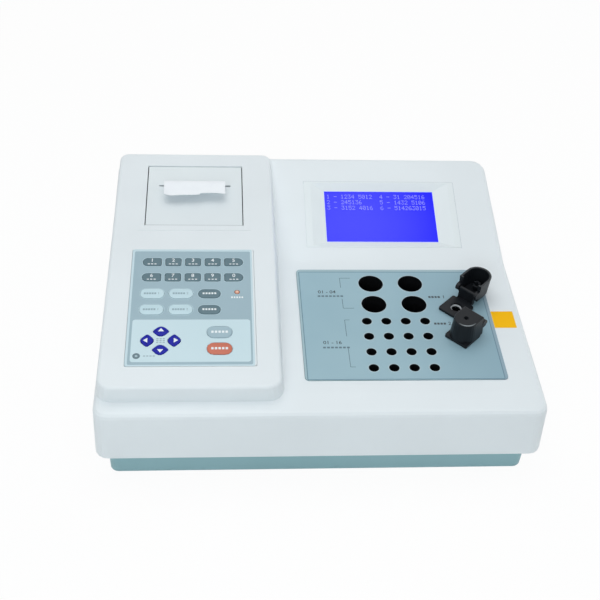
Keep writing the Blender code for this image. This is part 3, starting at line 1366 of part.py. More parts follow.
def make_inlet(frame):
    here = frame @ Matrix.Translation((PANEL_CENTRE_X - INLET_X, 0, 0))
    seat = panel_face() + GAP
    face = seat + INLET_FLANGE_THICKNESS
    flange = slab(centred(0, 0, INLET_BODY_WIDTH + 2 * INLET_LIP, INLET_BODY_HEIGHT + 2 * INLET_LIP,
                          INLET_CORNER), seat, face)
    inlet = part(flange, "power_inlet", "black_plastic", here)
    add(inlet, slab(centred(0, 0, INLET_BODY_WIDTH, INLET_BODY_HEIGHT), face - INLET_BODY_DEPTH,
                    (seat + face) / 2))
    cut(inlet, slab(centred(SOCKET_X, 0, SOCKET_WIDTH, SOCKET_HEIGHT, SOCKET_CORNER),
                    face - SOCKET_DEPTH, face + OVERRUN))
    floor = face - SOCKET_DEPTH
    for x, y in ((-BLADE_PITCH, -BLADE_LIFT), (0, BLADE_LIFT), (BLADE_PITCH, -BLADE_LIFT)):
        blade = centred(SOCKET_X + x, y, BLADE_WIDTH, BLADE_HEIGHT)
        add(inlet, slab(blade, floor - BLADE_WIDTH, floor + BLADE_LENGTH))
    well = centred(ROCKER_X, 0, ROCKER_WIDTH, ROCKER_HEIGHT)
    cut(inlet, slab(well, face - ROCKER_WELL, face + OVERRUN))
    reach = ROCKER_WIDTH / 2 + ROCKER_BOSS / 2
    pivot = cross_rod(0, face - ROCKER_PIVOT_DEPTH, ROCKER_BOSS / 2 + PIN_FIT, ROCKER_X - reach - GAP,
                      ROCKER_X + reach + GAP, PIN_STEPS)
    cut(inlet, pivot)


def make_rocker(frame):
    face = panel_face() + GAP + INLET_FLANGE_THICKNESS
    pivot = Matrix.Translation((PANEL_CENTRE_X - INLET_X + ROCKER_X, 0, face - ROCKER_PIVOT_DEPTH))
    tilt = Matrix.Rotation(radians(ROCKER_SWING), 4, "X")
    half = ROCKER_WIDTH / 2 - GAP
    reach = ROCKER_HEIGHT / 2 - ROCKER_PLAY
    swing = sin(radians(ROCKER_SWING))
    top = ROCKER_PIVOT_DEPTH
    outline = ((-reach, top + reach * swing), (0, top), (reach, top + reach * swing),
               (reach - ROCKER_BOSS, 0), (ROCKER_BOSS, -ROCKER_BOSS), (-ROCKER_BOSS, -ROCKER_BOSS),
               (ROCKER_BOSS - reach, 0))
    made = slab([Vector((-z, y)) for y, z in outline], -half, half)
    moved(made, Matrix.Rotation(pi / 2, 4, "Y"))
    rocker = part(made, "power_rocker", "black_plastic", frame @ pivot @ tilt)
    add(rocker, cross_rod(0, 0, ROCKER_BOSS / 2, -half - ROCKER_BOSS / 2, half + ROCKER_BOSS / 2, PIN_STEPS))


def make_port(frame):
    here = frame @ Matrix.Translation((PANEL_CENTRE_X - PORT_X, 0, 0))
    seat = panel_face() + GAP
    flange = centred(0, 0, PORT_SHELL_WIDTH + 2 * PORT_EAR, PORT_SHELL_HEIGHT + 2 * PORT_LIP)
    port = part(slab(flange, seat, seat + PORT_FLANGE_THICKNESS), "serial_port", "bright_metal", here)
    x, y = PORT_SHELL_WIDTH / 2, PORT_SHELL_HEIGHT / 2
    outline = rounded(((PORT_SLOPE - x, -y), (x - PORT_SLOPE, -y), (x, y), (-x, y)),
                      (PORT_SLOPE,) * 4, EDGE_STEPS)
    add(port, slab(outline, seat - PORT_BODY_DEPTH, seat + PORT_SHELL_DEPTH))


# Boards inside

def board_span():
    """The main board lies between the heating block and the tray's back, by the right wall."""
    right = TRAY_HALF_WIDTH - BOARD_INSET_X
    return right - BOARD_WIDTH, right, block_span()[3] + BOARD_CLEAR, TRAY_BACK - BOARD_INSET_Y


def standoff_places():
    left, right, front, rear = board_span()
    return [(x, y) for x in (left + STANDOFF_INSET, right - STANDOFF_INSET)
            for y in (front + STANDOFF_INSET, rear - STANDOFF_INSET)]


def make_boards():
    low = tray_floor() + BOARD_LIFT
    part(slab(rectangle(*board_span()), low, low + BOARD_THICKNESS), "main_board", "board_green")
    left = SUPPLY_INSET_X - TRAY_HALF_WIDTH
    front = TRAY_FRONT + SUPPLY_INSET_Y
    box = rectangle(left, left + SUPPLY_WIDTH, front, front + SUPPLY_LENGTH, SUPPLY_CORNER, EDGE_STEPS)
    part(slab(box, tray_floor() + GAP, tray_floor() + GAP + SUPPLY_HEIGHT), "power_supply", "panel_metal")


clear_scene()
make_collections()
mix_paints()
make_housing()
make_tray()
make_feet()
make_plate()
make_blocks()
make_optics()
make_display()
make_keypad()
make_door()
make_paper()
make_bay()
make_roll()
make_platen()
make_head()
make_panel()
make_boards()
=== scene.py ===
# %% [markdown]
# # A coagulation analyzer, dressed for its picture
# This bench instrument times how fast blood clots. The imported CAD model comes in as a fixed
# frame: a white moulded housing over a grey-green tray, a keypad and a strip printer on the left,
# and a plate of heated wells with two capped optic channels on the right. Each cell below gives
# one finish or one piece of fine detail that the plain solids leave out.

from math import copysign, cos, pi, radians, sin, tan

import bmesh
import bpy
from mathutils import Matrix, Vector


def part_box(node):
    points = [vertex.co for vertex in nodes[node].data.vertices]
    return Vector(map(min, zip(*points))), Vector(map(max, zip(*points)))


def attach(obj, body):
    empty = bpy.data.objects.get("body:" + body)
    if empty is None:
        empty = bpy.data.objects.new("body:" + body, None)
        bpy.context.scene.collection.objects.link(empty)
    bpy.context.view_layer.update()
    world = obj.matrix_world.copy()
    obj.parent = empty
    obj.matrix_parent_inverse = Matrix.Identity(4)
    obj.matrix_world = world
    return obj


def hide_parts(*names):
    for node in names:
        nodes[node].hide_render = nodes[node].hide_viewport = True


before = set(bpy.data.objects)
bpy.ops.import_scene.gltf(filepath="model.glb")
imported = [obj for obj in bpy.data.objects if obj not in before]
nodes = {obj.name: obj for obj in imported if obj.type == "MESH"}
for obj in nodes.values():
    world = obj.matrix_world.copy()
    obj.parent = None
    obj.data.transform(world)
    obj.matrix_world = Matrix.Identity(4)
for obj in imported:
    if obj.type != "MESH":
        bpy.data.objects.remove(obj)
scene = bpy.context.scene
link = scene.collection.objects.link
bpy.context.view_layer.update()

# %% [markdown]
# ## Places that several cells use
# Lengths are in metres, with X to the right, Y to the back and Z up. The keypad's pod and the
# display's face lean back, and the two optic wells stand equally far from a point between them.

# %% Name the places
BODY_LEFT, BODY_FRONT = -0.182, -0.1549
POD_TILT, DISPLAY_TILT = radians(4.67), radians(16.53)
DISPLAY_FRONT = 0.0347
OPTICS_X, OPTICS_Y, OPTICS_REACH = 0.1264, -0.0503, 0.0175
print("optic wells: y %.4f and %.4f" % (OPTICS_Y - OPTICS_REACH, OPTICS_Y + OPTICS_REACH))

# %% [markdown]
# ## The camera first
# The picture was taken with a long lens from the front, a little left of the middle and 42 degrees
# above the bench. A camera in Blender looks along its own -Z with +Y up, so its matrix is the three
# directions right, up and back as columns. Tracking a target would lose the picture's small roll.

# %% Place the camera
right = Vector((0.9971, -0.05724, 0.05021))
up = Vector((0.00063, 0.6656, 0.74631))
back = Vector((-0.07614, -0.74411, 0.66371))
eye = Vector((-0.08527, -0.73436, 0.71842))

lens = bpy.data.cameras.new("camera")
lens.sensor_width = 36.0
lens.lens = 64.69
lens.clip_start, lens.clip_end = 0.05, 20.0
camera = bpy.data.objects.new("camera", lens)
turn = Matrix((right, up, back)).transposed().to_4x4()
camera.matrix_world = Matrix.Translation(eye) @ turn
link(camera)
scene.camera = camera
print("camera: %.0f mm lens at %s" % (lens.lens, tuple(round(v, 3) for v in eye)))

# %% [markdown]
# ## Colours as they are seen
# Colours are easiest to read off a screen, where they are sRGB values from 0 to 255. Shaders work
# with linear light, so one helper turns the first into the second, in plain Python.

# %% Turn screen values into linear light
def tone(red, green, blue):
    steps = [value / 255 for value in (red, green, blue)]
    return (*[v / 12.92 if v <= 0.04045 else ((v + 0.055) / 1.055) ** 2.4 for v in steps], 1.0)


print("mid grey is", round(tone(128, 128, 128)[0], 3), "in linear light")

# %% [markdown]
# ## Shader sums as expressions
# A material is a graph of nodes, and a graph drawn by hand is hard to follow in a script. Here a
# wire stands for one socket, and a sum on wires adds the Math node it needs, so a mask reads like a
# formula. Colours don't go through Math nodes, which would turn them grey: they are mixed.

# %% A wire between nodes
class Wire:
    """One output socket. Sums on it add Math nodes."""

    def __init__(self, finish, socket):
        self.finish, self.socket = finish, socket

    def maths(self, operation, *others):
        values = dict(enumerate((self, *others)))
        return self.finish.node("ShaderNodeMath", {"operation": operation}, values)

    def __add__(self, other):
        return self.maths("ADD", other)

    def __sub__(self, other):
        return self.maths("SUBTRACT", other)

    def __mul__(self, other):
        return self.maths("MULTIPLY", other)

    def __truediv__(self, other):
        return self.maths("DIVIDE", other)

    __radd__, __rmul__ = __add__, __mul__

    def size(self):
        return self.maths("ABSOLUTE")

    def most(self, other):
        return self.maths("MAXIMUM", other)

    def least(self, other):
        return self.maths("MINIMUM", other)

    def length(self, other):
        """The length of the diagonal whose two sides are this value and another."""
        return (self * self + other * other).maths("SQRT")

    def wrapped(self, step):
        """The same value counted from the middle of each repeat of a step."""
        return self.maths("WRAP", step / 2, -step / 2)

    def rises(self, low, high, start=0.0, end=1.0):
        """Goes from start to end while this value goes from low to high."""
        return self.finish.node("ShaderNodeMapRange", {"clamp": True},
                                {"Value": self, "From Min": low, "From Max": high,
                                 "To Min": start, "To Max": end})

    def falls(self, low, high, start=1.0):
        """Goes from start to zero while this value goes from low to high."""
        return self.rises(low, high, start, 0.0)


# %% A graph and a finish
class Graph:
    """A node tree with an output node. Every other node in it is made by one method."""

    def __init__(self, tree):
        self.tree = tree
        self.end = next(node for node in tree.nodes if node.type.startswith("OUTPUT"))

    def node(self, kind, settings=None, sockets=None, output=0):
        made = self.tree.nodes.new(kind)
        for name, value in (settings or {}).items():
            setattr(made, name, value)
        for name, value in (sockets or {}).items():
            if isinstance(value, Wire):
                self.tree.links.new(value.socket, made.inputs[name])
            else:
                made.inputs[name].default_value = value
        return Wire(self, made.outputs[output])

    def show(self, wire):
        """Makes a shader the one that is seen."""
        self.tree.links.new(wire.socket, self.end.inputs["Surface"])

    def looked_at(self):
        """One for rays from the camera, a mirror or glass, zero for light on its way to a thing."""
        rays = [self.node("ShaderNodeLightPath", output="Is %s Ray" % kind)
                for kind in ("Camera", "Glossy", "Transmission")]
        return rays[0].most(rays[1]).most(rays[2])


class Finish(Graph):
    """A material with one Principled shader, which takes its wires by name."""

    def __init__(self, name, **constants):
        self.material = bpy.data.materials.new(name)
        self.material.use_nodes = True
        super().__init__(self.material.node_tree)
        self.shader = self.tree.nodes["Principled BSDF"]
        for socket, value in constants.items():
            self.shader.inputs[socket.replace("_", " ")].default_value = value
        self.place = self.node("ShaderNodeTexCoord", output="Object")
        self.x, self.y, self.z = [self.node("ShaderNodeSeparateXYZ", None, {0: self.place}, axis)
                                  for axis in range(3)]

    def noise(self, scale, detail=2.0, stretch=(1.0, 1.0, 1.0)):
        """Cloudy values round 0.5, with about scale clouds to the metre."""
        place = self.node("ShaderNodeVectorMath", {"operation": "MULTIPLY"},
                          {0: self.place, 1: stretch})
        return self.node("ShaderNodeTexNoise", None,
                         {"Vector": place, "Scale": scale, "Detail": detail})

    def mix(self, mask, *colours):
        """Goes from one colour to another. Three values are screen values, four are linear."""
        first, second = [tone(*colour) if isinstance(colour, tuple) and len(colour) == 3 else colour
                         for colour in colours]
        return self.node("ShaderNodeMix", {"data_type": "RGBA"}, {0: mask, 6: first, 7: second}, 2)

    def feed(self, socket, wire):
        self.tree.links.new(wire.socket, self.shader.inputs[socket])

    def bump(self, height, distance, strength):
        normal = self.node("ShaderNodeBump", None,
                           {"Height": height, "Distance": distance, "Strength": strength})
        self.feed("Normal", normal)


print("finishes are written as expressions on wires")

# %% [markdown]
# ## Light
# The picture is a studio shot on white. A broad soft light hangs right above the instrument, so the
# tops are bright, the front face is a shade darker and the paper drops only a soft shadow. A weak
# cool one lifts the front, more on the left than on the right, one low on the right keeps the wall
# of the keypad's pod from going dark, and a pale sky fills the rest. Together they make a colour
# render about as it is written.

# %% Hang the lamps
def lamp(name, place, target, width, depth, watts, colour=(1.0, 1.0, 1.0)):
    data = bpy.data.lights.new(name, "AREA")
    data.shape, data.size, data.size_y = "RECTANGLE", width, depth
    data.energy, data.color = watts, colour
    obj = bpy.data.objects.new(name, data)
    aim = (Vector(target) - Vector(place)).to_track_quat("-Z", "Y")
    obj.matrix_world = Matrix.Translation(place) @ aim.to_matrix().to_4x4()
    link(obj)


lamp("top_light", (-0.15, 0.15, 1.45), (0, 0, 0.08), 1.4, 1.3, 9.2)
lamp("front_fill", (-0.28, -1.1, 0.8), (0, 0, 0.05), 0.9, 0.5, 4.7, (0.89, 0.97, 1.0))
lamp("side_fill", (1.2, 0.25, 0.5), (0, 0, 0.08), 0.6, 0.6, 2.3, (0.96, 0.99, 1.0))
scene.view_settings.view_transform = "Standard"

# %% Paint the sky
world = bpy.data.worlds.new("studio")
world.use_nodes = True
scene.world = world
SKY_LEVEL = 0.36

sky = Graph(world.node_tree)
pale = sky.node("ShaderNodeBackground", None,
                {"Color": (0.94, 0.98, 1.0, 1.0), "Strength": SKY_LEVEL})
plain = sky.node("ShaderNodeBackground", None, {"Color": (1.0, 1.0, 1.0, 1.0), "Strength": 1.0})
sky.show(sky.node("ShaderNodeMixShader", None, {0: sky.looked_at(), 1: pale, 2: plain}))
print("sky: level", SKY_LEVEL, "and plain white where it is looked at")

# %% [markdown]
# ## The floor
# The instrument stands on white paper. The floor is a real white surface that takes the shadow;
# where the camera, a mirror or glass looks at it, most of it is plain white, so the background
# stays clean. It isn't part of the instrument.

# %% Roll out the white floor
PLAIN_SHARE, FLOOR_HALF = 0.95, 4.0

sweep = Finish("white_sweep", Roughness=0.9)
sweep.feed("Base Color", sweep.mix(sweep.noise(3.0), (242, 243, 243), (245, 245, 245)))
white_glow = sweep.node("ShaderNodeEmission", None, {"Strength": 1.0})
surface = Wire(sweep, sweep.shader.outputs[0])
share = sweep.looked_at() * PLAIN_SHARE
sweep.show(sweep.node("ShaderNodeMixShader", None, {0: share, 1: surface, 2: white_glow}))

sheet = bmesh.new()
bmesh.ops.create_grid(sheet, x_segments=4, y_segments=4, size=FLOOR_HALF)
floor_mesh = bpy.data.meshes.new("floor")
sheet.to_mesh(floor_mesh)
sheet.free()
floor = bpy.data.objects.new("floor", floor_mesh)
floor.location.z = -0.0002
floor_mesh.materials.append(sweep.material)
link(floor)
print("floor: %d m across, shadow kept" % (2 * FLOOR_HALF))

# %% [markdown]
# ## White moulded plastic
# The housing is moulded in a cool white, with the fine spark texture that a moulding tool leaves.
# That texture is a bump too small to see one grain of, which breaks up the shine. Wide soft clouds
# shift the colour and the gloss by a few per cent. The bezel round the display is the same plastic
# from another tool, slightly cooler. Painted shade darkens the door's sides and front edge, so the
# gaps round it show as lines a pixel or two wide, and a painted highlight lightens the closed cap's
# round front edge and, faintly, the open cap's rim.

# %% Mix the moulded plastics
GRAIN_DEPTH = 0.00003


def moulded(name, dark, light, roughness, grain=2600.0, shine=0.5, edges=None,
            line=(176, 184, 188)):
    """Moulded plastic. Where a mask for its edges is given, they take the line's colour, as painted
    shade or a painted highlight.
    """
    finish = Finish(name, IOR=1.48, Specular_IOR_Level=shine)
    clouds = finish.noise(9.0, 3.0)
    specks = finish.noise(grain)
    paint = finish.mix(clouds.rises(0.35, 0.65), dark, light)
    finish.feed("Base Color", finish.mix(edges(finish), paint, line) if edges else paint)
    gloss = clouds.rises(0.3, 0.7, roughness - 0.03, roughness + 0.03)
    finish.feed("Roughness", gloss + (specks - 0.5) * 0.1)
    finish.bump(specks, GRAIN_DEPTH, 0.35)
    return finish.material


door_low, door_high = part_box("printer_door")
STUB_AND_GAP = 0.0026


def door_gap_shade(finish):
    """Painted shade on the door's edges, so its gaps show as lines: strong at its sides, weaker at
    its front.
    """
    half_width = (door_high.x - door_low.x) / 2 - STUB_AND_GAP
    beside = (finish.x - (door_low.x + door_high.x) / 2).size() - half_width
    front = (finish.y - door_low.y).falls(0.0004, 0.0007, 0.55)
    return front.most(beside.rises(-0.0004, -0.0003))


cap_top, rim_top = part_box("optic_2_cap")[1].z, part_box("optic_1_cap")[1].z
CAP_FRONT, BETWEEN_CAPS = -0.0745, -0.036


def cap_painted_highlight(finish):
    """A painted highlight on the closed cap's round front edge and, much weaker, on the open cap's
    rim.
    """
    front = ((finish.x - OPTICS_X).size().falls(0.002, 0.0085, 0.6)
             * finish.y.falls(CAP_FRONT, CAP_FRONT + 0.001))
    edge = (finish.z.rises(cap_top - 0.00065, cap_top - 0.00045)
            * finish.z.falls(cap_top - 0.00012, cap_top - 0.00004))
    rim = (finish.z.rises(rim_top - 0.0004, rim_top - 0.0002)
           * finish.y.rises(BETWEEN_CAPS, BETWEEN_CAPS + 0.001))
    return front * edge + rim * 0.06


BLACK = ((21, 24, 28), (27, 30, 34))

white = moulded("white_moulding", (229, 235, 238), (233, 239, 242), 0.44)
door_white_gap_shaded = moulded("door_moulding_gap_shade", (226, 233, 236), (231, 238, 240), 0.4,
                     edges=door_gap_shade, line=(96, 106, 110))
bezel_white = moulded("bezel_moulding", (228, 235, 237), (232, 239, 241), 0.4)
teal = moulded("tray_paint", (140, 179, 186), (147, 185, 192), 0.5, 1500.0)
black = moulded("black_moulding", *BLACK, 0.36, 2200.0, 0.2)
cap_black_highlit = moulded("cap_moulding_highlight", *BLACK, 0.36, 2200.0, 0.2, cap_painted_highlight)
dark_bay = moulded("bay_moulding", (24, 26, 29), (31, 33, 36), 0.55, shine=0.3)


def dress(material, *names):
    """Puts one material in every slot of these CAD nodes."""
    for name in names:
        obj = nodes[name]
        obj.data.materials.clear()
        obj.data.materials.append(material)


dress(white, "upper_housing")
dress(door_white_gap_shaded, "printer_door")
dress(bezel_white, "display_bezel")
dress(teal, "base_tray")
dress(black, "optic_1_base", "optic_2_base", "optic_1_pin", "optic_2_pin",
      "power_inlet", "power_rocker")
dress(cap_black_highlit, "optic_1_cap", "optic_2_cap")
dress(dark_bay, "printer_bay", "paper_spindle")
for name in ("optic_1_base", "optic_2_base", "optic_1_cap", "optic_2_cap"):
    soft = nodes[name].modifiers.new("soft edges", "BEVEL")
    soft.width, soft.segments, soft.limit_method, soft.angle_limit = 0.0005, 2, "ANGLE", radians(35)
print("moulded finishes are on")

# %% [markdown]
# ## The well plate
# The plate is aluminium, painted blue-grey and then screen printed. A darker line runs round inside
# its edge, further in at the back than at the front, and the paint shows a fine orange peel. The
# line is ink with no height to speak of, so it is a mask: the distance from a rectangle, worked out
# from the position of each point. Painted shade darkens the paint towards the right, the margin
# outside the line at the right, and the walls of the bores down to near black.

# %% Paint the plate
def edge_distance(across, along, middle, half, corner):
    """How far a point lies outside a rounded rectangle; negative inside."""
    over_x = (across - middle[0]).size() - (half[0] - corner)
    over_y = (along - middle[1]).size() - (half[1] - corner)
    outside = over_x.most(0.0).length(over_y.most(0.0))
    return outside + over_x.most(over_y).least(0.0) - corner


low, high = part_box("deck_plate")
plate_middle, plate_half = (low + high) / 2, (high - low) / 2
PLATE_TOP = high.z

plate = Finish("plate_paint", IOR=1.5)
peel = plate.noise(420.0)
clouds = plate.noise(14.0)
line_middle = plate_middle + Vector((-0.00045, -0.00145, 0))
line_half = plate_half - Vector((0.00255, 0.00195, 0))
distance = edge_distance(plate.x, plate.y, line_middle, line_half, 0.0009)
line = distance.size().falls(0.0003, 0.0004)
paint = plate.mix(clouds.rises(0.35, 0.65), (149, 181, 193), (155, 186, 197))
# Painted shade: the paint darkens towards the right.
paint = plate.mix(plate.x.rises(0.07, 0.15) * 0.8, paint, (136, 168, 182))
# Painted shade: the margin outside the line is darker at the right.
right_shade = (plate.x - plate_middle.x).rises(0.06, 0.083)
margin = plate.mix(right_shade, (158, 184, 192), (142, 166, 180))
paint = plate.mix(distance.rises(0.0, 0.0001), paint, margin)
paint = plate.mix(line, paint, (94, 129, 146))
# Painted shade: the walls of the bores, below the plate's top, are near black.
in_bore = plate.z.falls(PLATE_TOP - 0.0003, PLATE_TOP - 0.0001) * distance.falls(-0.004, -0.003)
plate.feed("Base Color", plate.mix(in_bore, paint, (12, 13, 15)))
plate.feed("Roughness", peel.rises(0.3, 0.7, 0.38, 0.46))
plate.bump(peel, 0.00004, 0.25)
dress(plate.material, "deck_plate")
print("plate: %.1f x %.1f mm" % tuple(1000 * v for v in (high - low)[:2]))

# %% [markdown]
# ## Blocks, liners and sheet metal
# Under the plate the wells go down into two aluminium blocks, anodised black and bored on a
# lathe, so the walls carry fine rings. The same idea, noise squeezed along one axis, gives the
# turned liners of the optic channels, with a white collar at the mouth, and the brushed rear panel.
# One function makes them all.

# %% Turn, bore and brush the metals
BORE_RADIUS, COLLAR_FOOT = 0.0045, 0.0813
TURNED = (0.03, 0.03, 2.0)


def worked_metal(name, dark, light, roughness, stretch=(1.0, 1.0, 1.0), metallic=1.0,
                 scale=900.0, collar=None):
    """Metal with fine lines. A liner can have a white collar, given by the height of its foot."""
    finish = Finish(name, Metallic=metallic)
    lines = finish.noise(scale, 3.0, stretch)
    clouds = finish.noise(25.0)
    paint = finish.mix(lines.rises(0.3, 0.7), dark, light)
    if collar:
        over_x, over_y = finish.x - OPTICS_X, (finish.y - OPTICS_Y).size() - OPTICS_REACH
        in_bore = over_x.length(over_y).falls(BORE_RADIUS, BORE_RADIUS + 0.0001)
        in_collar = finish.z.rises(collar - 0.0001, collar) * in_bore
        paint = finish.mix(in_collar, paint, (238, 242, 245))
        finish.feed("Metallic", in_collar.falls(0.0, 1.0, metallic))
    finish.feed("Base Color", paint)
    gloss = lines.rises(0.3, 0.7, roughness - 0.05, roughness + 0.05)
    finish.feed("Roughness", gloss + (clouds - 0.5) * 0.08)
    finish.bump(lines, GRAIN_DEPTH, 0.4)
    return finish.material


anodised = worked_metal("black_anodised", (17, 18, 20), (27, 28, 31), 0.42, (0.02, 0.02, 2.0), 0.4)
liner = worked_metal("turned_liner", (188, 191, 195), (224, 226, 229), 0.26, TURNED)
collared = worked_metal("collared_liner", (70, 76, 82), (96, 102, 108), 0.3, TURNED,
                        collar=COLLAR_FOOT)
brushed = worked_metal("brushed_panel", (172, 177, 181), (199, 203, 206), 0.38, (0.02, 1.0, 3.0))
zinc = worked_metal("zinc_plate", (150, 154, 158), (178, 181, 184), 0.4, scale=120.0)
steel = worked_metal("bright_steel", (196, 198, 201), (222, 224, 226), 0.24, scale=500.0)

dress(anodised, "vial_block", "tube_block")
dress(collared, "optic_1_sleeve", "optic_2_sleeve")
dress(brushed, "rear_panel")
dress(zinc, "power_supply")
dress(steel, "serial_port", "print_head")
print("metal finishes are on")

# %% [markdown]
# ## Rubber, paper and circuit boards
# The feet and the platen are rubber, dull and slightly mottled. The roll is thermal paper, whose
# edge shows its turns as fine rings. The boards are green solder mask with copper tracks under it:
# a brick pattern gives the straight runs. They show where a door opens or from below.

# %% Finish the inner parts
def rubber():
    finish = Finish("rubber", Roughness=0.78)
    grain = finish.noise(900.0, 3.0)
    finish.feed("Base Color", finish.mix(grain, (52, 53, 55), (66, 67, 69)))
    finish.bump(grain, 0.00006, 0.5)
    return finish.material


def rolled_paper():
    finish = Finish("rolled_paper", Roughness=0.85)
    grain = finish.noise(700.0, 3.0)
    low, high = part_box("paper_roll")
    middle = (low + high) / 2
    turns = (finish.y - middle.y).length(finish.z - middle.z).wrapped(0.0006).size()
    edge = grain * 0.5 + turns.rises(0.0, 0.0003, 0.0, 0.5)
    finish.feed("Base Color", finish.mix(edge, (222, 224, 224), (243, 244, 243)))
    finish.bump(turns, 0.0001, 0.4)
    return finish.material


def solder_mask():
    finish = Finish("solder_mask", Roughness=0.35)
    no, yes = (0, 0, 0, 1), (1, 1, 1, 1)
    tracks = finish.node("ShaderNodeTexBrick", {"offset": 0.5},
                         {"Vector": finish.place, "Scale": 60.0, "Mortar Size": 0.03,
                          "Color1": no, "Color2": no, "Mortar": yes}, 1)
    dots = finish.node("ShaderNodeTexVoronoi", None, {"Vector": finish.place, "Scale": 220.0})
    pads = dots.falls(0.12, 0.16)
    finish.feed("Base Color", finish.mix(tracks.most(pads), (22, 92, 60), (70, 140, 96)))
    finish.bump(tracks.most(pads), 0.00005, 0.5)
    return finish.material


dress(rubber(), "foot_1", "foot_2", "foot_3", "foot_4", "platen_roller")
dress(rolled_paper(), "paper_roll")
dress(solder_mask(), "main_board", "lcd_board")
print("inner parts are finished")

# %% [markdown]
# ## Making new pieces
# Fine detail is built as outlines that are stacked into closed solids. Every piece is made where
# it stands, in metres, so its own coordinates are the room's and one finish runs across pieces
# without a seam. Sloping faces have frames of their own, whose x is the room's X and whose z points
# out of the face: the keypad and printer share one, the display has another.

# %% Frames and outlines
def sloping(y, z, tilt):
    """The frame of a face that starts at a height and leans back."""
    return Matrix.Translation((0, y, z)) @ Matrix.Rotation(tilt, 4, "X")


POD = sloping(BODY_FRONT, 0.09405, POD_TILT)
DISPLAY = sloping(DISPLAY_FRONT, 0.0806, DISPLAY_TILT)
LEVEL = Matrix.Identity(4)


def rounded(corners, radii, steps):
    """An outline whose corners are arcs."""
    corners = [Vector(corner) for corner in corners]
    points = []
    for index, corner in enumerate(corners):
        toward = (corners[index - 1] - corner).normalized()
        away = (corners[(index + 1) % len(corners)] - corner).normalized()
        half = toward.angle(away) / 2
        centre = corner + (toward + away).normalized() * (radii[index] / sin(half))
        start = corner + toward * (radii[index] / tan(half)) - centre
        end = corner + away * (radii[index] / tan(half)) - centre
        bend = -start.angle_signed(end)
        for step in range(steps + 1):
            angle = bend * step / steps
            points.append(centre + Vector((start.x * cos(angle) - start.y * sin(angle),
                                           start.x * sin(angle) + start.y * cos(angle))))
    return points


def box_outline(x, y, width, depth, left=0.0002, right=None, steps=8):
    """A rectangle round a middle point, with one corner radius for each end."""
    right = left if right is None else right
    a, b = width / 2, depth / 2
    return rounded(((x - a, y - b), (x + a, y - b), (x + a, y + b), (x - a, y + b)),
                   (left, right, right, left), steps)


def ring_outline(x, y, radius, steps):
    angles = [2 * pi * step / steps for step in range(steps)]
    return [Vector((x + radius * cos(angle), y + radius * sin(angle))) for angle in angles]


def offset(outline, margin):
    """The outline moved outwards, or inwards where the margin is negative."""
    points = []
    for index, point in enumerate(outline):
        along = (outline[(index + 1) % len(outline)] - outline[index - 1]).normalized()
        points.append(point + Vector((along.y, -along.x)) * margin)
    return points


print("a pill outline has", len(box_outline(0, 0, 0.02, 0.01, 0.0049)), "points")

# %% Solids from outlines
def stack(levels, solid=None):
    """Joins outlines, given with their heights, into one closed solid."""
    solid = solid or bmesh.new()
    rings = [[solid.verts.new((p[0], p[1], z)) for p in outline] for outline, z in levels]
    for low, high in zip(rings, rings[1:]):
        for index in range(len(low)):
            after = (index + 1) % len(low)
            solid.faces.new((low[index], low[after], high[after], high[index]))
    solid.faces.new(reversed(rings[0]))
    solid.faces.new(rings[-1])
    return solid


def slab(outline, low, high, solid=None):
    """A plate with one outline, between two heights."""
    return stack(((outline, low), (outline, high)), solid)


def band(outer, inner, low, high, solid=None):
    """A flat ring between two outlines of as many points."""
    solid = solid or bmesh.new()
    rings = [[solid.verts.new((p[0], p[1], z)) for p in outline]
             for outline, z in ((outer, low), (outer, high), (inner, high), (inner, low))]
    for near, far in zip(rings, rings[1:] + rings[:1]):
        for index in range(len(near)):
            after = (index + 1) % len(near)
            solid.faces.new((near[index], near[after], far[after], far[index]))
    return solid


def ring(x, y, outer, inner, low, high, solid=None, steps=32):
    """A flat ring between two circles."""
    return band(ring_outline(x, y, outer, steps), ring_outline(x, y, inner, steps),
                low, high, solid)


def piece(name, solid, material, matrix=LEVEL, body="housing", sharp=40.0):
    """Places a solid as one piece that rides on a body."""
    bmesh.ops.transform(solid, matrix=matrix, verts=solid.verts)
    bmesh.ops.recalc_face_normals(solid, faces=solid.faces)
    mesh = bpy.data.meshes.new(name)
    solid.to_mesh(mesh)
    solid.free()
    mesh.materials.append(material)
    mesh.shade_smooth()
    mesh.set_sharp_from_angle(angle=radians(sharp))
    obj = bpy.data.objects.new(name, mesh)
    link(obj)
    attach(obj, body)
    return obj


print("pieces are stacked outlines")

# %% [markdown]
# ## Printed marks
# Words on the real keypad and plate aren't copied. Plain numbers, bars and brackets take their
# places. A number starts as one of Blender's text objects in its built-in font, becomes a mesh
# and is pressed down to the thickness of ink.

# %% Set type and bars
INK = 0.00004


def type_solid(text, size, x, y, z, solid=None):
    """Adds a line of type, centred on a point, to a solid."""
    solid = solid or bmesh.new()
    curve = bpy.data.curves.new("type", "FONT")
    curve.body, curve.size, curve.resolution_u = text, size, 3
    curve.align_x, curve.align_y = "CENTER", "CENTER"
    curve.extrude, curve.offset = INK / 2, size * 0.012
    sample = bpy.data.objects.new("type", curve)
    link(sample)
    bpy.context.view_layer.update()
    ready = sample.evaluated_get(bpy.context.evaluated_depsgraph_get())
    mesh = bpy.data.meshes.new_from_object(ready)
    mesh.transform(Matrix.Translation((x, y, z + INK / 2)))
    solid.from_mesh(mesh)
    bpy.data.meshes.remove(mesh)
    bpy.data.objects.remove(sample)
    bpy.data.curves.remove(curve)
    bmesh.ops.remove_doubles(solid, verts=solid.verts, dist=0.000001)
    return solid


def bar(x, y, width, depth, z, solid=None):
    return slab(box_outline(x, y, width, depth, steps=1), z, z + INK, solid)


def bars(count, pitch, x, y, width, depth, z, solid=None):
    """A row of bars in the place of a word, centred on a point."""
    for step in range(count):
        solid = bar(x + (step - (count - 1) / 2) * pitch, y, width, depth, z, solid)
    return solid


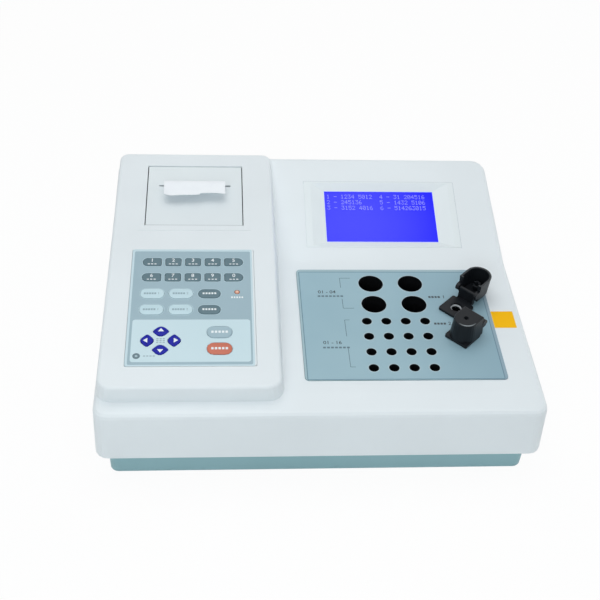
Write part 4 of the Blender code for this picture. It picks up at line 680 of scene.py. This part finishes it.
def ink(name, *screen):
    """Screen ink: one colour, thinner here and there where the mesh let less through."""
    colour = tone(*screen)
    finish = Finish(name, Roughness=0.5)
    mesh_marks = finish.noise(1800.0)
    faded = tuple(0.9 * c + 0.1 * 0.5 for c in colour[:3]) + (1.0,)
    finish.feed("Base Color", finish.mix(mesh_marks.rises(0.45, 0.8), colour, faded))
    finish.bump(mesh_marks, 0.00001, 0.3)
    return finish.material


white_ink = ink("white_ink", 236, 241, 243)
grey_ink = ink("grey_ink", 94, 119, 129)
soft_ink = ink("soft_ink", 146, 171, 181)
pale_ink = ink("pale_ink", 163, 186, 194)
line_ink = ink("line_ink", 88, 114, 126)
dark_ink = ink("dark_ink", 52, 66, 74)
halo_ink = ink("halo_ink", 182, 207, 216)
rim_ink = ink("rim_ink", 132, 157, 168)
print("inks are mixed")

# %% [markdown]
# ## The keypad film
# The keypad is a printed polyester film: a pale border, a grey-green field under the upper keys
# and a pale panel under the lower ones. All three are masks made from the distance to rounded
# rectangles, measured along the slope of the pod. The film is satin, with a fine regular texture.

# %% Print the film
low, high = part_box("keypad_overlay")
middle_x, half_x = (low.x + high.x) / 2, (high.x - low.x) / 2
film = Finish("keypad_print", IOR=1.55)
slope_y = (film.y - BODY_FRONT) / cos(POD_TILT)


def satin(finish, roughness):
    """A fine regular texture, which varies the gloss a little."""
    texture = finish.noise(2200.0)
    finish.feed("Roughness", texture.rises(0.3, 0.7, roughness, roughness + 0.1))
    finish.bump(texture, GRAIN_DEPTH, 0.3)


def outside_area(shift, y, margin, half_depth, corner):
    """How far a point lies outside one of the printed areas."""
    half = (half_x - margin, half_depth)
    return edge_distance(film.x, slope_y, (middle_x + shift, y), half, corner)


border = outside_area(-0.0007, 0.1050, 0.0007, 0.0679, 0.0018)
field = outside_area(-0.0005, 0.1044, 0.0026, 0.0658, 0.0012)
panel = outside_area(-0.0002, 0.0647, 0.0044, 0.0232, 0.0024)
clouds = film.noise(12.0).rises(0.35, 0.65)
field_paint = film.mix(clouds, (150, 176, 187), (155, 181, 192))
pale_paint = film.mix(clouds, (199, 222, 229), (203, 225, 232))
shown = film.mix(field.falls(0.0, 0.00012), (197, 219, 227), field_paint)
shown = film.mix(border.rises(0.0, 0.0001), shown, (226, 233, 236))
shown = film.mix(panel.falls(0.0, 0.00012), shown, pale_paint)
film.feed("Base Color", shown)
satin(film, 0.36)
dress(film.material, "keypad_overlay")
print("film: %.1f mm wide" % (2000 * half_x))

# %% [markdown]
# ## The keys
# Each key is a low dome pressed into the film. The CAD key is a plain pad with few sides, so a
# smooth one of the same outline takes its place: its sides run up, turn over in a quarter round
# and end in a slightly crowned top. The outline and place come from the CAD key's own box, so a
# key always sits on its body and sinks when it is pressed.

# %% Press the keys
def key_finish(name, dark, light, shine=0.35):
    finish = Finish(name, IOR=1.55, Specular_IOR_Level=shine)
    finish.feed("Base Color", finish.mix(finish.noise(60.0).rises(0.3, 0.7), dark, light))
    satin(finish, 0.34)
    return finish.material


slate = key_finish("slate_key", (84, 112, 122), (91, 118, 128))
mist = key_finish("mist_key", (193, 218, 226), (198, 223, 231))
silver = key_finish("silver_key", (158, 183, 194), (164, 189, 199))
brick = key_finish("brick_key", (198, 106, 81), (205, 112, 87))
indigo = key_finish("indigo_key", (18, 26, 158), (23, 32, 166), 0.15)

KEY_HEIGHT, KEY_TOP, FILM_TOP = 0.0017, 0.0008, 0.0003
EDGE, CROWN, CORNER = 0.00045, 0.00008, 0.0018
LENS_BULGE, LENS_STEPS = 1.4, 48
RIM_START, RIM_END, HALO_END = 0.00035, 0.0005, 0.00085


def key_place(name):
    """The middle of a key in the pod's frame, with its width and depth there."""
    low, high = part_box(name)
    middle = POD.inverted() @ ((low + high) / 2)
    depth = ((high.y - low.y) - KEY_HEIGHT * sin(POD_TILT)) / cos(POD_TILT)
    return middle.x, middle.y, high.x - low.x, depth


def dome(outline):
    levels = [(outline, KEY_TOP - KEY_HEIGHT)]
    for step in range(5):
        angle = pi / 2 * step / 4
        up = KEY_TOP - EDGE + EDGE * sin(angle)
        levels.append((offset(outline, -EDGE * (1 - cos(angle))), up))
    levels.append((offset(outline, -3 * EDGE), KEY_TOP + CROWN))
    return stack(levels)


def lens_outline(x, y, width, depth):
    """A diamond whose sides bulge and whose corners are soft."""
    points = []
    for step in range(LENS_STEPS):
        angle = 2 * pi * step / LENS_STEPS
        over, up = [copysign(abs(part) ** (2 / LENS_BULGE), part)
                    for part in (cos(angle), sin(angle))]
        points.append(Vector((x + width / 2 * over, y + depth / 2 * up)))
    return points


key_names = sorted(name for name in nodes if "_key_" in name)
digit_keys = [name for name in key_names if name.startswith("digit")]
halos, dark_rims = bmesh.new(), bmesh.new()
for name in key_names:
    x, y, width, depth = key_place(name)
    blunt = depth / 2 - 0.0003
    if name.startswith("digit"):
        outline = box_outline(x, y, width, depth, blunt if name[-1] == "1" else CORNER,
                              blunt if name[-1] == "5" else CORNER)
        material = slate
    elif name.startswith("arrow"):
        outline = lens_outline(x, y, width, depth)
        material = indigo
    else:
        outline = box_outline(x, y, width, depth, blunt)
        material = {"function": mist, "service": slate}.get(name.split("_")[0])
        material = material or (silver if name.endswith("1") else brick)
    key = piece(name + "_dome", dome(outline), material, POD, "body_" + name, 60.0)
    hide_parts(name)
    if not name.startswith("arrow"):
        on, end = (dark_rims, RIM_END) if name.startswith("command") else (halos, HALO_END)
        band(offset(outline, end), offset(outline, RIM_START), FILM_TOP, FILM_TOP + INK, on)
piece("key_halos", halos, halo_ink, POD)
piece("command_rims", dark_rims, rim_ink, POD)
print("keys:", len(key_names), "of them digits:", len(digit_keys))

# %% [markdown]
# ## Legends on the keys
# The digit keys carry their numbers, 1 to 9 and 0, in white, with three small bars where the real
# ones have letters. The other keys get bars of about the length of their words, and the arrow keys
# their arrow heads. A legend rides on its key's body, a hair above the crown.

# %% Number the keys
LEGEND = KEY_TOP + 0.00005
TYPE_SIZE = 0.0056


def legend_on(name, legend, material=white_ink):
    piece(name + "_legend", legend, material, POD, "body_" + name)


for name in digit_keys:
    x, y, width, depth = key_place(name)
    number = str((int(name[-2]) - 1) * 5 + int(name[-1]))[-1]
    legend = type_solid(number, TYPE_SIZE, x, y + 0.0016, LEGEND)
    legend_on(name, bars(3, 0.0029, x, y - 0.0029, 0.0019, 0.0010, LEGEND, legend))

for name in key_names:
    x, y, width, depth = key_place(name)
    kind = name.split("_")[0]
    if kind == "function":
        legend = type_solid(name[-1], 0.0034, x + 0.0055, y, LEGEND)
        legend_on(name, bars(5, 0.0022, x - 0.0018, y, 0.0018, 0.0021, LEGEND, legend), soft_ink)
    elif kind in ("service", "command"):
        large = 1.18 if kind == "command" else 1.0
        legend_on(name, bars(5, 0.0025 * large, x, y, 0.0017 * large, 0.0021 * large, LEGEND))
    elif kind == "arrow":
        way = {"up": (0, 1), "down": (0, -1), "left": (-1, 0), "right": (1, 0)}[name.split("_")[-1]]
        along, across = Vector(way), Vector((-way[1], way[0]))
        middle = Vector((x, y)) + along * 0.0012
        foot = middle - along * 0.0015
        head = [middle + along * 0.0021, foot + across * 0.0026, foot - across * 0.0026]
        legend_on(name, slab(head, LEGEND, LEGEND + INK))
print("legends ride on", len(key_names), "keys")

# %% [markdown]
# ## The lamp and the small print on the film
# The status lamp is a clear orange lens over a lit chip. It glows a little in the middle, which an
# emission that falls off from its centre gives. Beside and below it stand the small marks of the
# film: bars under the lamp, a grey disc with bars in the lower left corner, and a fine grid
# between the arrow keys.

# %% Light the lamp and print the small marks
low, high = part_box("status_lamp")
lamp_middle = (low + high) / 2
lens_finish = Finish("lamp_lens", Roughness=0.22, IOR=1.5, Emission_Strength=0.2)
away = (lens_finish.x - lamp_middle.x).length(lens_finish.y - lamp_middle.y)
glow = away.falls(0.0, 0.0021)
lens_finish.feed("Base Color", lens_finish.mix(glow, (178, 108, 76), (232, 198, 176)))
lens_finish.feed("Emission Color", lens_finish.mix(glow, (120, 52, 30), (255, 178, 138)))
dress(lens_finish.material, "status_lamp")

marks = bars(5, 0.0022, BODY_LEFT + 0.1134, 0.1138, 0.0014, 0.0019, FILM_TOP)
piece("lamp_marks", marks, white_ink, POD)

CORNER_Y, GRID_STEP = 0.0479, 0.0026
disc = bmesh.new()
for outer, inner in ((0.0031, 0.0010), (0.0005, 0.0001)):
    ring(BODY_LEFT + 0.0308, CORNER_Y, outer, inner, FILM_TOP, FILM_TOP + INK, disc)
piece("corner_disc", disc, grey_ink, POD)
grid = bars(4, GRID_STEP, BODY_LEFT + 0.0411, CORNER_Y, 0.0019, 0.0013, FILM_TOP)
for row in range(3):
    bars(3, GRID_STEP, BODY_LEFT + 0.0499, 0.0625 + row * 0.0021, 0.0019, 0.0014, FILM_TOP, grid)
piece("corner_marks", grid, pale_ink, POD)
print("small marks are printed")

# %% [markdown]
# ## Marks on the well plate
# Two brackets tie the groups of wells to their captions, whose words are left off: the numbers of
# the wells stand there instead. The two optic channels are marked 1 and 2. Each well has a pale
# ring of bare metal where its edge was countersunk after painting.

# %% Print the brackets and rings
def on_plate(x, y):
    return BODY_LEFT + x, BODY_FRONT + y


BRACKET_LINE = 0.0005


def bracket(solid, x, far, near, gap, tick):
    """A bracket that opens to the right, with a gap for its caption."""
    for start, end in ((far, gap[0]), (gap[1], near)):
        bar(*on_plate(x, (start + end) / 2), BRACKET_LINE, start - end, PLATE_TOP, solid)
    for y in (far, near):
        bar(*on_plate(x + tick / 2, y), tick, BRACKET_LINE, PLATE_TOP, solid)


brackets, captions = bmesh.new(), bmesh.new()
bracket(brackets, 0.2076, 0.1645, 0.1236, (0.1514, 0.1363), 0.0096)
bracket(brackets, 0.2074, 0.1084, 0.0506, (0.0876, 0.0732), 0.0044)
for text, first, second in (("01 - 04", 0.1453, 0.1398), ("01 - 16", 0.0798, 0.0739)):
    type_solid(text, TYPE_SIZE, *on_plate(0.1945, first), PLATE_TOP, captions)
    bars(7, 0.0034, *on_plate(0.1974, second), 0.0024, 0.0020, PLATE_TOP, brackets)
for number, y in (("1", 0.1385), ("2", 0.1034)):
    bars(4, 0.0028, *on_plate(0.2912, y), 0.0021, 0.0025, PLATE_TOP, captions)
    type_solid(number, TYPE_SIZE, *on_plate(0.2998, y), PLATE_TOP, captions)
piece("plate_brackets", brackets, line_ink)
piece("plate_captions", captions, dark_ink)

# For each group: the first well, the steps across and along, the count, radius and ring's sides.
GROUPS = ((0.0535, -0.026, 0.0361, 0.028, 2, 0.01125, 72),
          (0.04485, -0.1055, 0.0172, 0.0191, 4, 0.0045, 40))
rim_metal = worked_metal("well_rim", (170, 191, 198), (188, 206, 212), 0.4, metallic=0.3)
rims, wells = bmesh.new(), 0
for x, y, across, along, count, radius, sides in GROUPS:
    for number in range(count * count):
        row, column = divmod(number, count)
        ring(x + across * column, y + along * row, radius + 0.0005, radius - 0.00005,
             PLATE_TOP - 0.0001, PLATE_TOP + 0.00006, rims, sides)
        wells += 1
piece("well_rims", rims, rim_metal)
print("wells ringed:", wells)

# %% [markdown]
# ## The amber label
# A square amber label sits at the deck's right edge. Its sign is left off, so it is a bare vinyl
# sticker with rounded corners, a little paler round its edge where the print stops short.

# %% Stick on the amber label
label = Finish("amber_vinyl", Roughness=0.5, Specular_IOR_Level=0.12)
LABEL, LABEL_SIZE, LABEL_CORNER = (0.1672, -0.04555), Vector((0.0200, 0.0215)), 0.0008
inside = edge_distance(label.x, label.y, LABEL, LABEL_SIZE / 2, LABEL_CORNER)
amber = label.mix(label.noise(40.0).rises(0.3, 0.7), (254, 188, 6), (255, 193, 14))
label.feed("Base Color", label.mix(inside.rises(-0.0007, -0.0005), amber, (246, 200, 96)))
label.bump(label.noise(500.0), 0.00002, 0.3)
outline = box_outline(*LABEL, *LABEL_SIZE, LABEL_CORNER)
piece("amber_label", slab(outline, 0.08058, 0.0807), label.material)
print("label: 20 x 21.5 mm")

# %% [markdown]
# ## The display
# A blue backlit display with pale characters shows three rows. The blue is brightest in the
# middle and fades to the edges. The characters are drawn dot by dot from 5 x 7 patterns of numbers
# and dashes, as such a display makes them; the menu's words are left off. A thin seal fills the
# joint round the bezel. Its colour is painted light and shade: white at the left and bottom, where
# it paints out the joint's shade, and grey along the top and right, as painted shade.

# %% Light the display
GLOW_MIDDLE, GLOW_REACH = (0.0470, 0.0480), (0.072, 0.042)
PIXEL_X, PIXEL_Y = 0.00052, 0.00055

glass = Finish("lit_glass", Roughness=0.22, Specular_IOR_Level=0.1, Emission_Strength=0.7)
slope_y = (glass.y - DISPLAY_FRONT) / cos(DISPLAY_TILT)
across = (glass.x - GLOW_MIDDLE[0]) / GLOW_REACH[0]
along = (slope_y - GLOW_MIDDLE[1]) / GLOW_REACH[1]
fade = (across * across * 0.7 + along * along * 0.3).rises(0.0, 0.9)
columns, rows = [side.wrapped(pixel).size().rises(0.00021, 0.00025)
                 for side, pixel in ((glass.x, PIXEL_X), (glass.y, PIXEL_Y))]
blue = glass.mix(fade, (80, 82, 255), (38, 38, 254))
glass.feed("Emission Color", glass.mix(columns.most(rows) * 0.1, blue, (36, 36, 190)))
glass.feed("Base Color", glass.mix(fade, (22, 24, 205), (14, 16, 196)))
dress(glass.material, "lcd_panel")

PATTERNS = {
    "1": "..#.. .##.. ..#.. ..#.. ..#.. ..#.. .###.",
    "2": ".###. #...# ....# ...#. ..#.. .#... #####",
    "3": "##### ...#. ..#.. ...#. ....# #...# .###.",
    "4": "...#. ..##. .#.#. #..#. ##### ...#. ...#.",
    "5": "##### #.... ####. ....# ....# #...# .###.",
    "6": "..##. .#... #.... ####. #...# #...# .###.",
    "0": ".###. #...# #..## #.#.# ##..# #...# .###.",
    "-": "..... ..... ..... ##### ..... ..... .....",
}
ROWS = ("1 - 1234 5012  4 - 31 204516", "2 - 245136     5 - 1432 5106",
        "3 - 3152 4016  6 - 514263015")
DOT_X, DOT_Y, DOT_HEIGHT = 0.000575, 0.00068, 0.00002
DOTS_LEFT, DOTS_TOP, ROW_STEP, GLASS_FACE = 0.0206, 0.0802, 0.0067, -0.0036


def character_dots(solid, text, x, y, z):
    """Adds one row of characters, whose top left dot is at (x, y)."""
    for place, sign in enumerate(text):
        for row, line in enumerate(PATTERNS.get(sign, "").split()):
            for column, dot in enumerate(line):
                if dot == "#":
                    square = box_outline(x + (place * 6 + column) * DOT_X, y - row * DOT_Y,
                                         DOT_X * 0.84, DOT_Y * 0.84, DOT_X * 0.1, steps=1)
                    slab(square, z, z + DOT_HEIGHT, solid)


lit = Finish("lit_dots", Roughness=0.3, Emission_Strength=0.7)
flicker = lit.noise(900.0, 1.0).rises(0.3, 0.7)
lit.feed("Emission Color", lit.mix(flicker, (132, 136, 252), (148, 152, 255)))
lit.feed("Base Color", lit.mix(flicker, (100, 100, 150), (110, 110, 160)))
dots = bmesh.new()
for row, text in enumerate(ROWS):
    character_dots(dots, text, DOTS_LEFT, DOTS_TOP - row * ROW_STEP, GLASS_FACE)
piece("display_dots", dots, lit.material, DISPLAY)

# The seal's colour is painted: grey along the top and right as painted shade, white elsewhere to
# paint out the joint's shade.
seal = Finish("bezel_seal_painted_shade", Roughness=0.6)
upper_side_shade = seal.y.rises(0.1210, 0.1230).most(seal.x.rises(0.1440, 0.1448))
seal.feed("Base Color", seal.mix(upper_side_shade, (229, 235, 238), (186, 193, 202)))
seal.bump(seal.noise(900.0), 0.00002, 0.3)
bezel_line = box_outline(0.07165, 0.0548, 0.1470, 0.0778)
joint = band(offset(bezel_line, 0.00028), offset(bezel_line, -0.00002), -0.0012, -0.00008)
piece("bezel_seal_painted_shade", joint, seal.material, DISPLAY)
print("display rows:", len(ROWS))

# %% [markdown]
# ## The strip of paper
# The strip curls up out of the slot and over towards the front, and ends in a ragged edge where it
# was torn. The side that shows is blank. The CAD strip is one plain curved sheet. Here a grid of
# points follows nearly the same curve, ripples a little across its width and stops at a torn line,
# and then gets the thickness of paper. It rides on the door, through whose slot it comes.

# %% Tear off the paper
low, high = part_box("paper_strip")
# The paper's faint bluish emission is painted light: it brightens the paper, which is no lamp.
paper = Finish("thermal_paper_glow", Roughness=0.8, Emission_Color=(0.85, 0.92, 1.0, 1.0),
               Emission_Strength=0.045)
fibres = paper.noise(1400.0, 4.0, (1.0, 0.4, 1.0))
haze = paper.noise(70.0).rises(0.3, 0.7)
paper.feed("Base Color", paper.mix(haze, (238, 241, 245), (244, 247, 250)))
paper.bump(fibres, 0.00004, 0.3)

SLOT_Y, ROOT, RISE, RADIUS, TURN, TAIL = 0.26012, 0.0036, 0.0025, 0.0085, radians(95.0), 0.0121
RIPPLE, FRAY, PAPER = 0.00025, 0.00012, 0.0001


def along_strip(distance):
    """A point (y, z) on the strip's curve at a distance from where it leaves the printer."""
    straight = ROOT + RISE
    if distance < straight:
        return SLOT_Y, distance - ROOT
    angle = min((distance - straight) / RADIUS, TURN)
    y, z = SLOT_Y - RADIUS + RADIUS * cos(angle), RISE + RADIUS * sin(angle)
    rest = max(distance - straight - RADIUS * TURN, 0.0)
    return y - rest * sin(TURN), z + rest * cos(TURN)


TEAR = ((0.0, 0.0010), (0.04, 0.0022), (0.12, 0.0040), (0.22, 0.0035), (0.36, 0.0027),
        (0.5, 0.0022), (0.583, 0.0019), (0.588, 0.0), (0.7, 0.0002), (0.88, 0.0004), (1.0, 0.0011))


def torn(share):
    """How far past its full length the strip reaches at this share of its width."""
    for (start, low), (end, high) in zip(TEAR, TEAR[1:]):
        if share <= end:
            reach = low + (high - low) * (share - start) / (end - start)
            return reach + FRAY * sin(87.0 * share)


COLUMNS, LENGTHS = 96, 26
full = ROOT + RISE + RADIUS * TURN + TAIL
middle, width = (low.x + high.x) / 2, high.x - low.x
ribbon = bmesh.new()
grid = []
for column in range(COLUMNS + 1):
    share = column / COLUMNS
    line = []
    for step in range(LENGTHS + 1):
        y, z = along_strip((full + torn(share)) * step / LENGTHS)
        lift = RIPPLE * sin(11.0 * share + 2.0) * (step / LENGTHS) ** 2
        line.append(ribbon.verts.new((middle + (share - 0.5) * width, y, z - lift)))
    grid.append(line)
for near, far in zip(grid, grid[1:]):
    for step in range(LENGTHS):
        ribbon.faces.new((near[step], far[step], far[step + 1], near[step + 1]))
strip = piece("torn_strip", ribbon, paper.material, POD, "door", 60.0)
thickness = strip.modifiers.new("paper thickness", "SOLIDIFY")
thickness.thickness, thickness.offset = PAPER, 0.0
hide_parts("paper_strip")
print("strip: %.1f mm wide, %.1f mm long" % (1000 * width, 1000 * full))

# %% [markdown]
# ## The back
# The back panel is held by four cross-head screws. The power inlet's rocker has a bar on one side
# and a ring on the other. The serial port of the CAD model is one plain block, so a fuller one
# takes its place: a folded shell round a black insert with nine contacts, and a hexagonal post at
# either end for the plug's screws. Four more screws hold the tray's flange from below.

# %% Fit the screws
TURN_BACK = Matrix(((-1, 0, 0), (0, 0, 1), (0, 1, 0))).to_4x4()
BACK = Matrix.Translation((0.04, 0.152, 0.0665)) @ TURN_BACK
DOWN = Matrix.Rotation(pi, 4, "X")
SIDES = 24


def cross_outline(x, y, radius):
    """The mouth of a cross recess, with as many points as the head's rings."""
    points = []
    for step in range(SIDES):
        angle = 2 * pi * step / SIDES
        reach = radius * (0.55 if abs(sin(2 * angle)) < 0.6 else 0.17)
        points.append(Vector((x + reach * cos(angle), y + reach * sin(angle))))
    return points


def screw(solid, x, y, z, radius):
    """A pan head with a cross recess, from its seat up."""
    height = radius * 0.55
    head = [(ring_outline(x, y, radius * share, SIDES), z + rise * height)
            for share, rise in ((1, 0), (1, 0.5), (0.9, 0.85), (0.7, 1))]
    recess = [(cross_outline(x, y, radius * share), z + rise * height)
              for share, rise in ((1, 1), (0.9, 0.3))]
    return stack(head + recess, solid)


for name, xs, ys, seat, radius, face in (
        ("panel_screws", (-0.095, 0.095), (-0.019, 0.019), 0.0016, 0.0024, BACK),
        ("tray_screws", (-0.1787, 0.1787), (0.1159, -0.1146), -0.034, 0.0022, DOWN)):
    screws = bmesh.new()
    for x in xs:
        for y in ys:
            screw(screws, x, y, seat, radius)
    piece(name, screws, steel, face)
print("screws: 4 in the panel, 4 under the tray's flange")

# %% Mark the rocker and build the port
SWITCH = BACK @ Matrix.Translation((-0.0505, 0, -0.0006)) @ Matrix.Rotation(radians(7), 4, "X")
MARK_OUT, ROCKER_SLOPE = 0.0045, radians(6.95)
marks = (("rocker_bar", 1, bar(0, MARK_OUT, 0.0006, 0.0034, 0)),
         ("rocker_ring", -1, ring(0, -MARK_OUT, 0.0019, 0.0013, 0, INK)))
for name, side, mark in marks:
    slope = Matrix.Rotation(side * ROCKER_SLOPE, 4, "X")
    piece(name, mark, white_ink, SWITCH @ Matrix.Translation((0, 0, 0.0045)) @ slope, "rocker")

PORT = BACK @ Matrix.Translation((0.005, 0, 0.0019))
POST_X, POST_SIDES = 0.0125, 6
d_corners = ((-0.0072, -0.004), (0.0072, -0.004), (0.0084, 0.004), (-0.0084, 0.004))
shell_line = rounded(d_corners, (0.0012,) * 4, 5)
shell = slab(box_outline(0, 0, 0.031, 0.0125, 0.0006), 0, 0.001)
band(shell_line, offset(shell_line, -0.0005), 0.0005, 0.006, shell)
for x in (-POST_X, POST_X):
    post = ring_outline(x, 0, 0.0027, POST_SIDES)
    hole = ring_outline(x, 0, 0.0014, POST_SIDES)
    stack(((post, 0.0005), (post, 0.0052), (offset(post, -0.0003), 0.0055),
           (hole, 0.0055), (hole, 0.002)), shell)
port = piece("port_shell", shell, steel, PORT)
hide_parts("serial_port")

piece("port_insert", slab(offset(shell_line, -0.0007), -0.009, 0.0055), black, PORT)
CONTACT_PITCH = 0.00277
contacts = bmesh.new()
for count, y in ((5, 0.0014), (4, -0.0014)):
    for step in range(count):
        x = (step - (count - 1) / 2) * CONTACT_PITCH
        ring(x, y, 0.0008, 0.0004, 0.005, 0.0056, contacts, 20)
piece("port_contacts", contacts, liner, PORT)
print("port: 9 contacts")
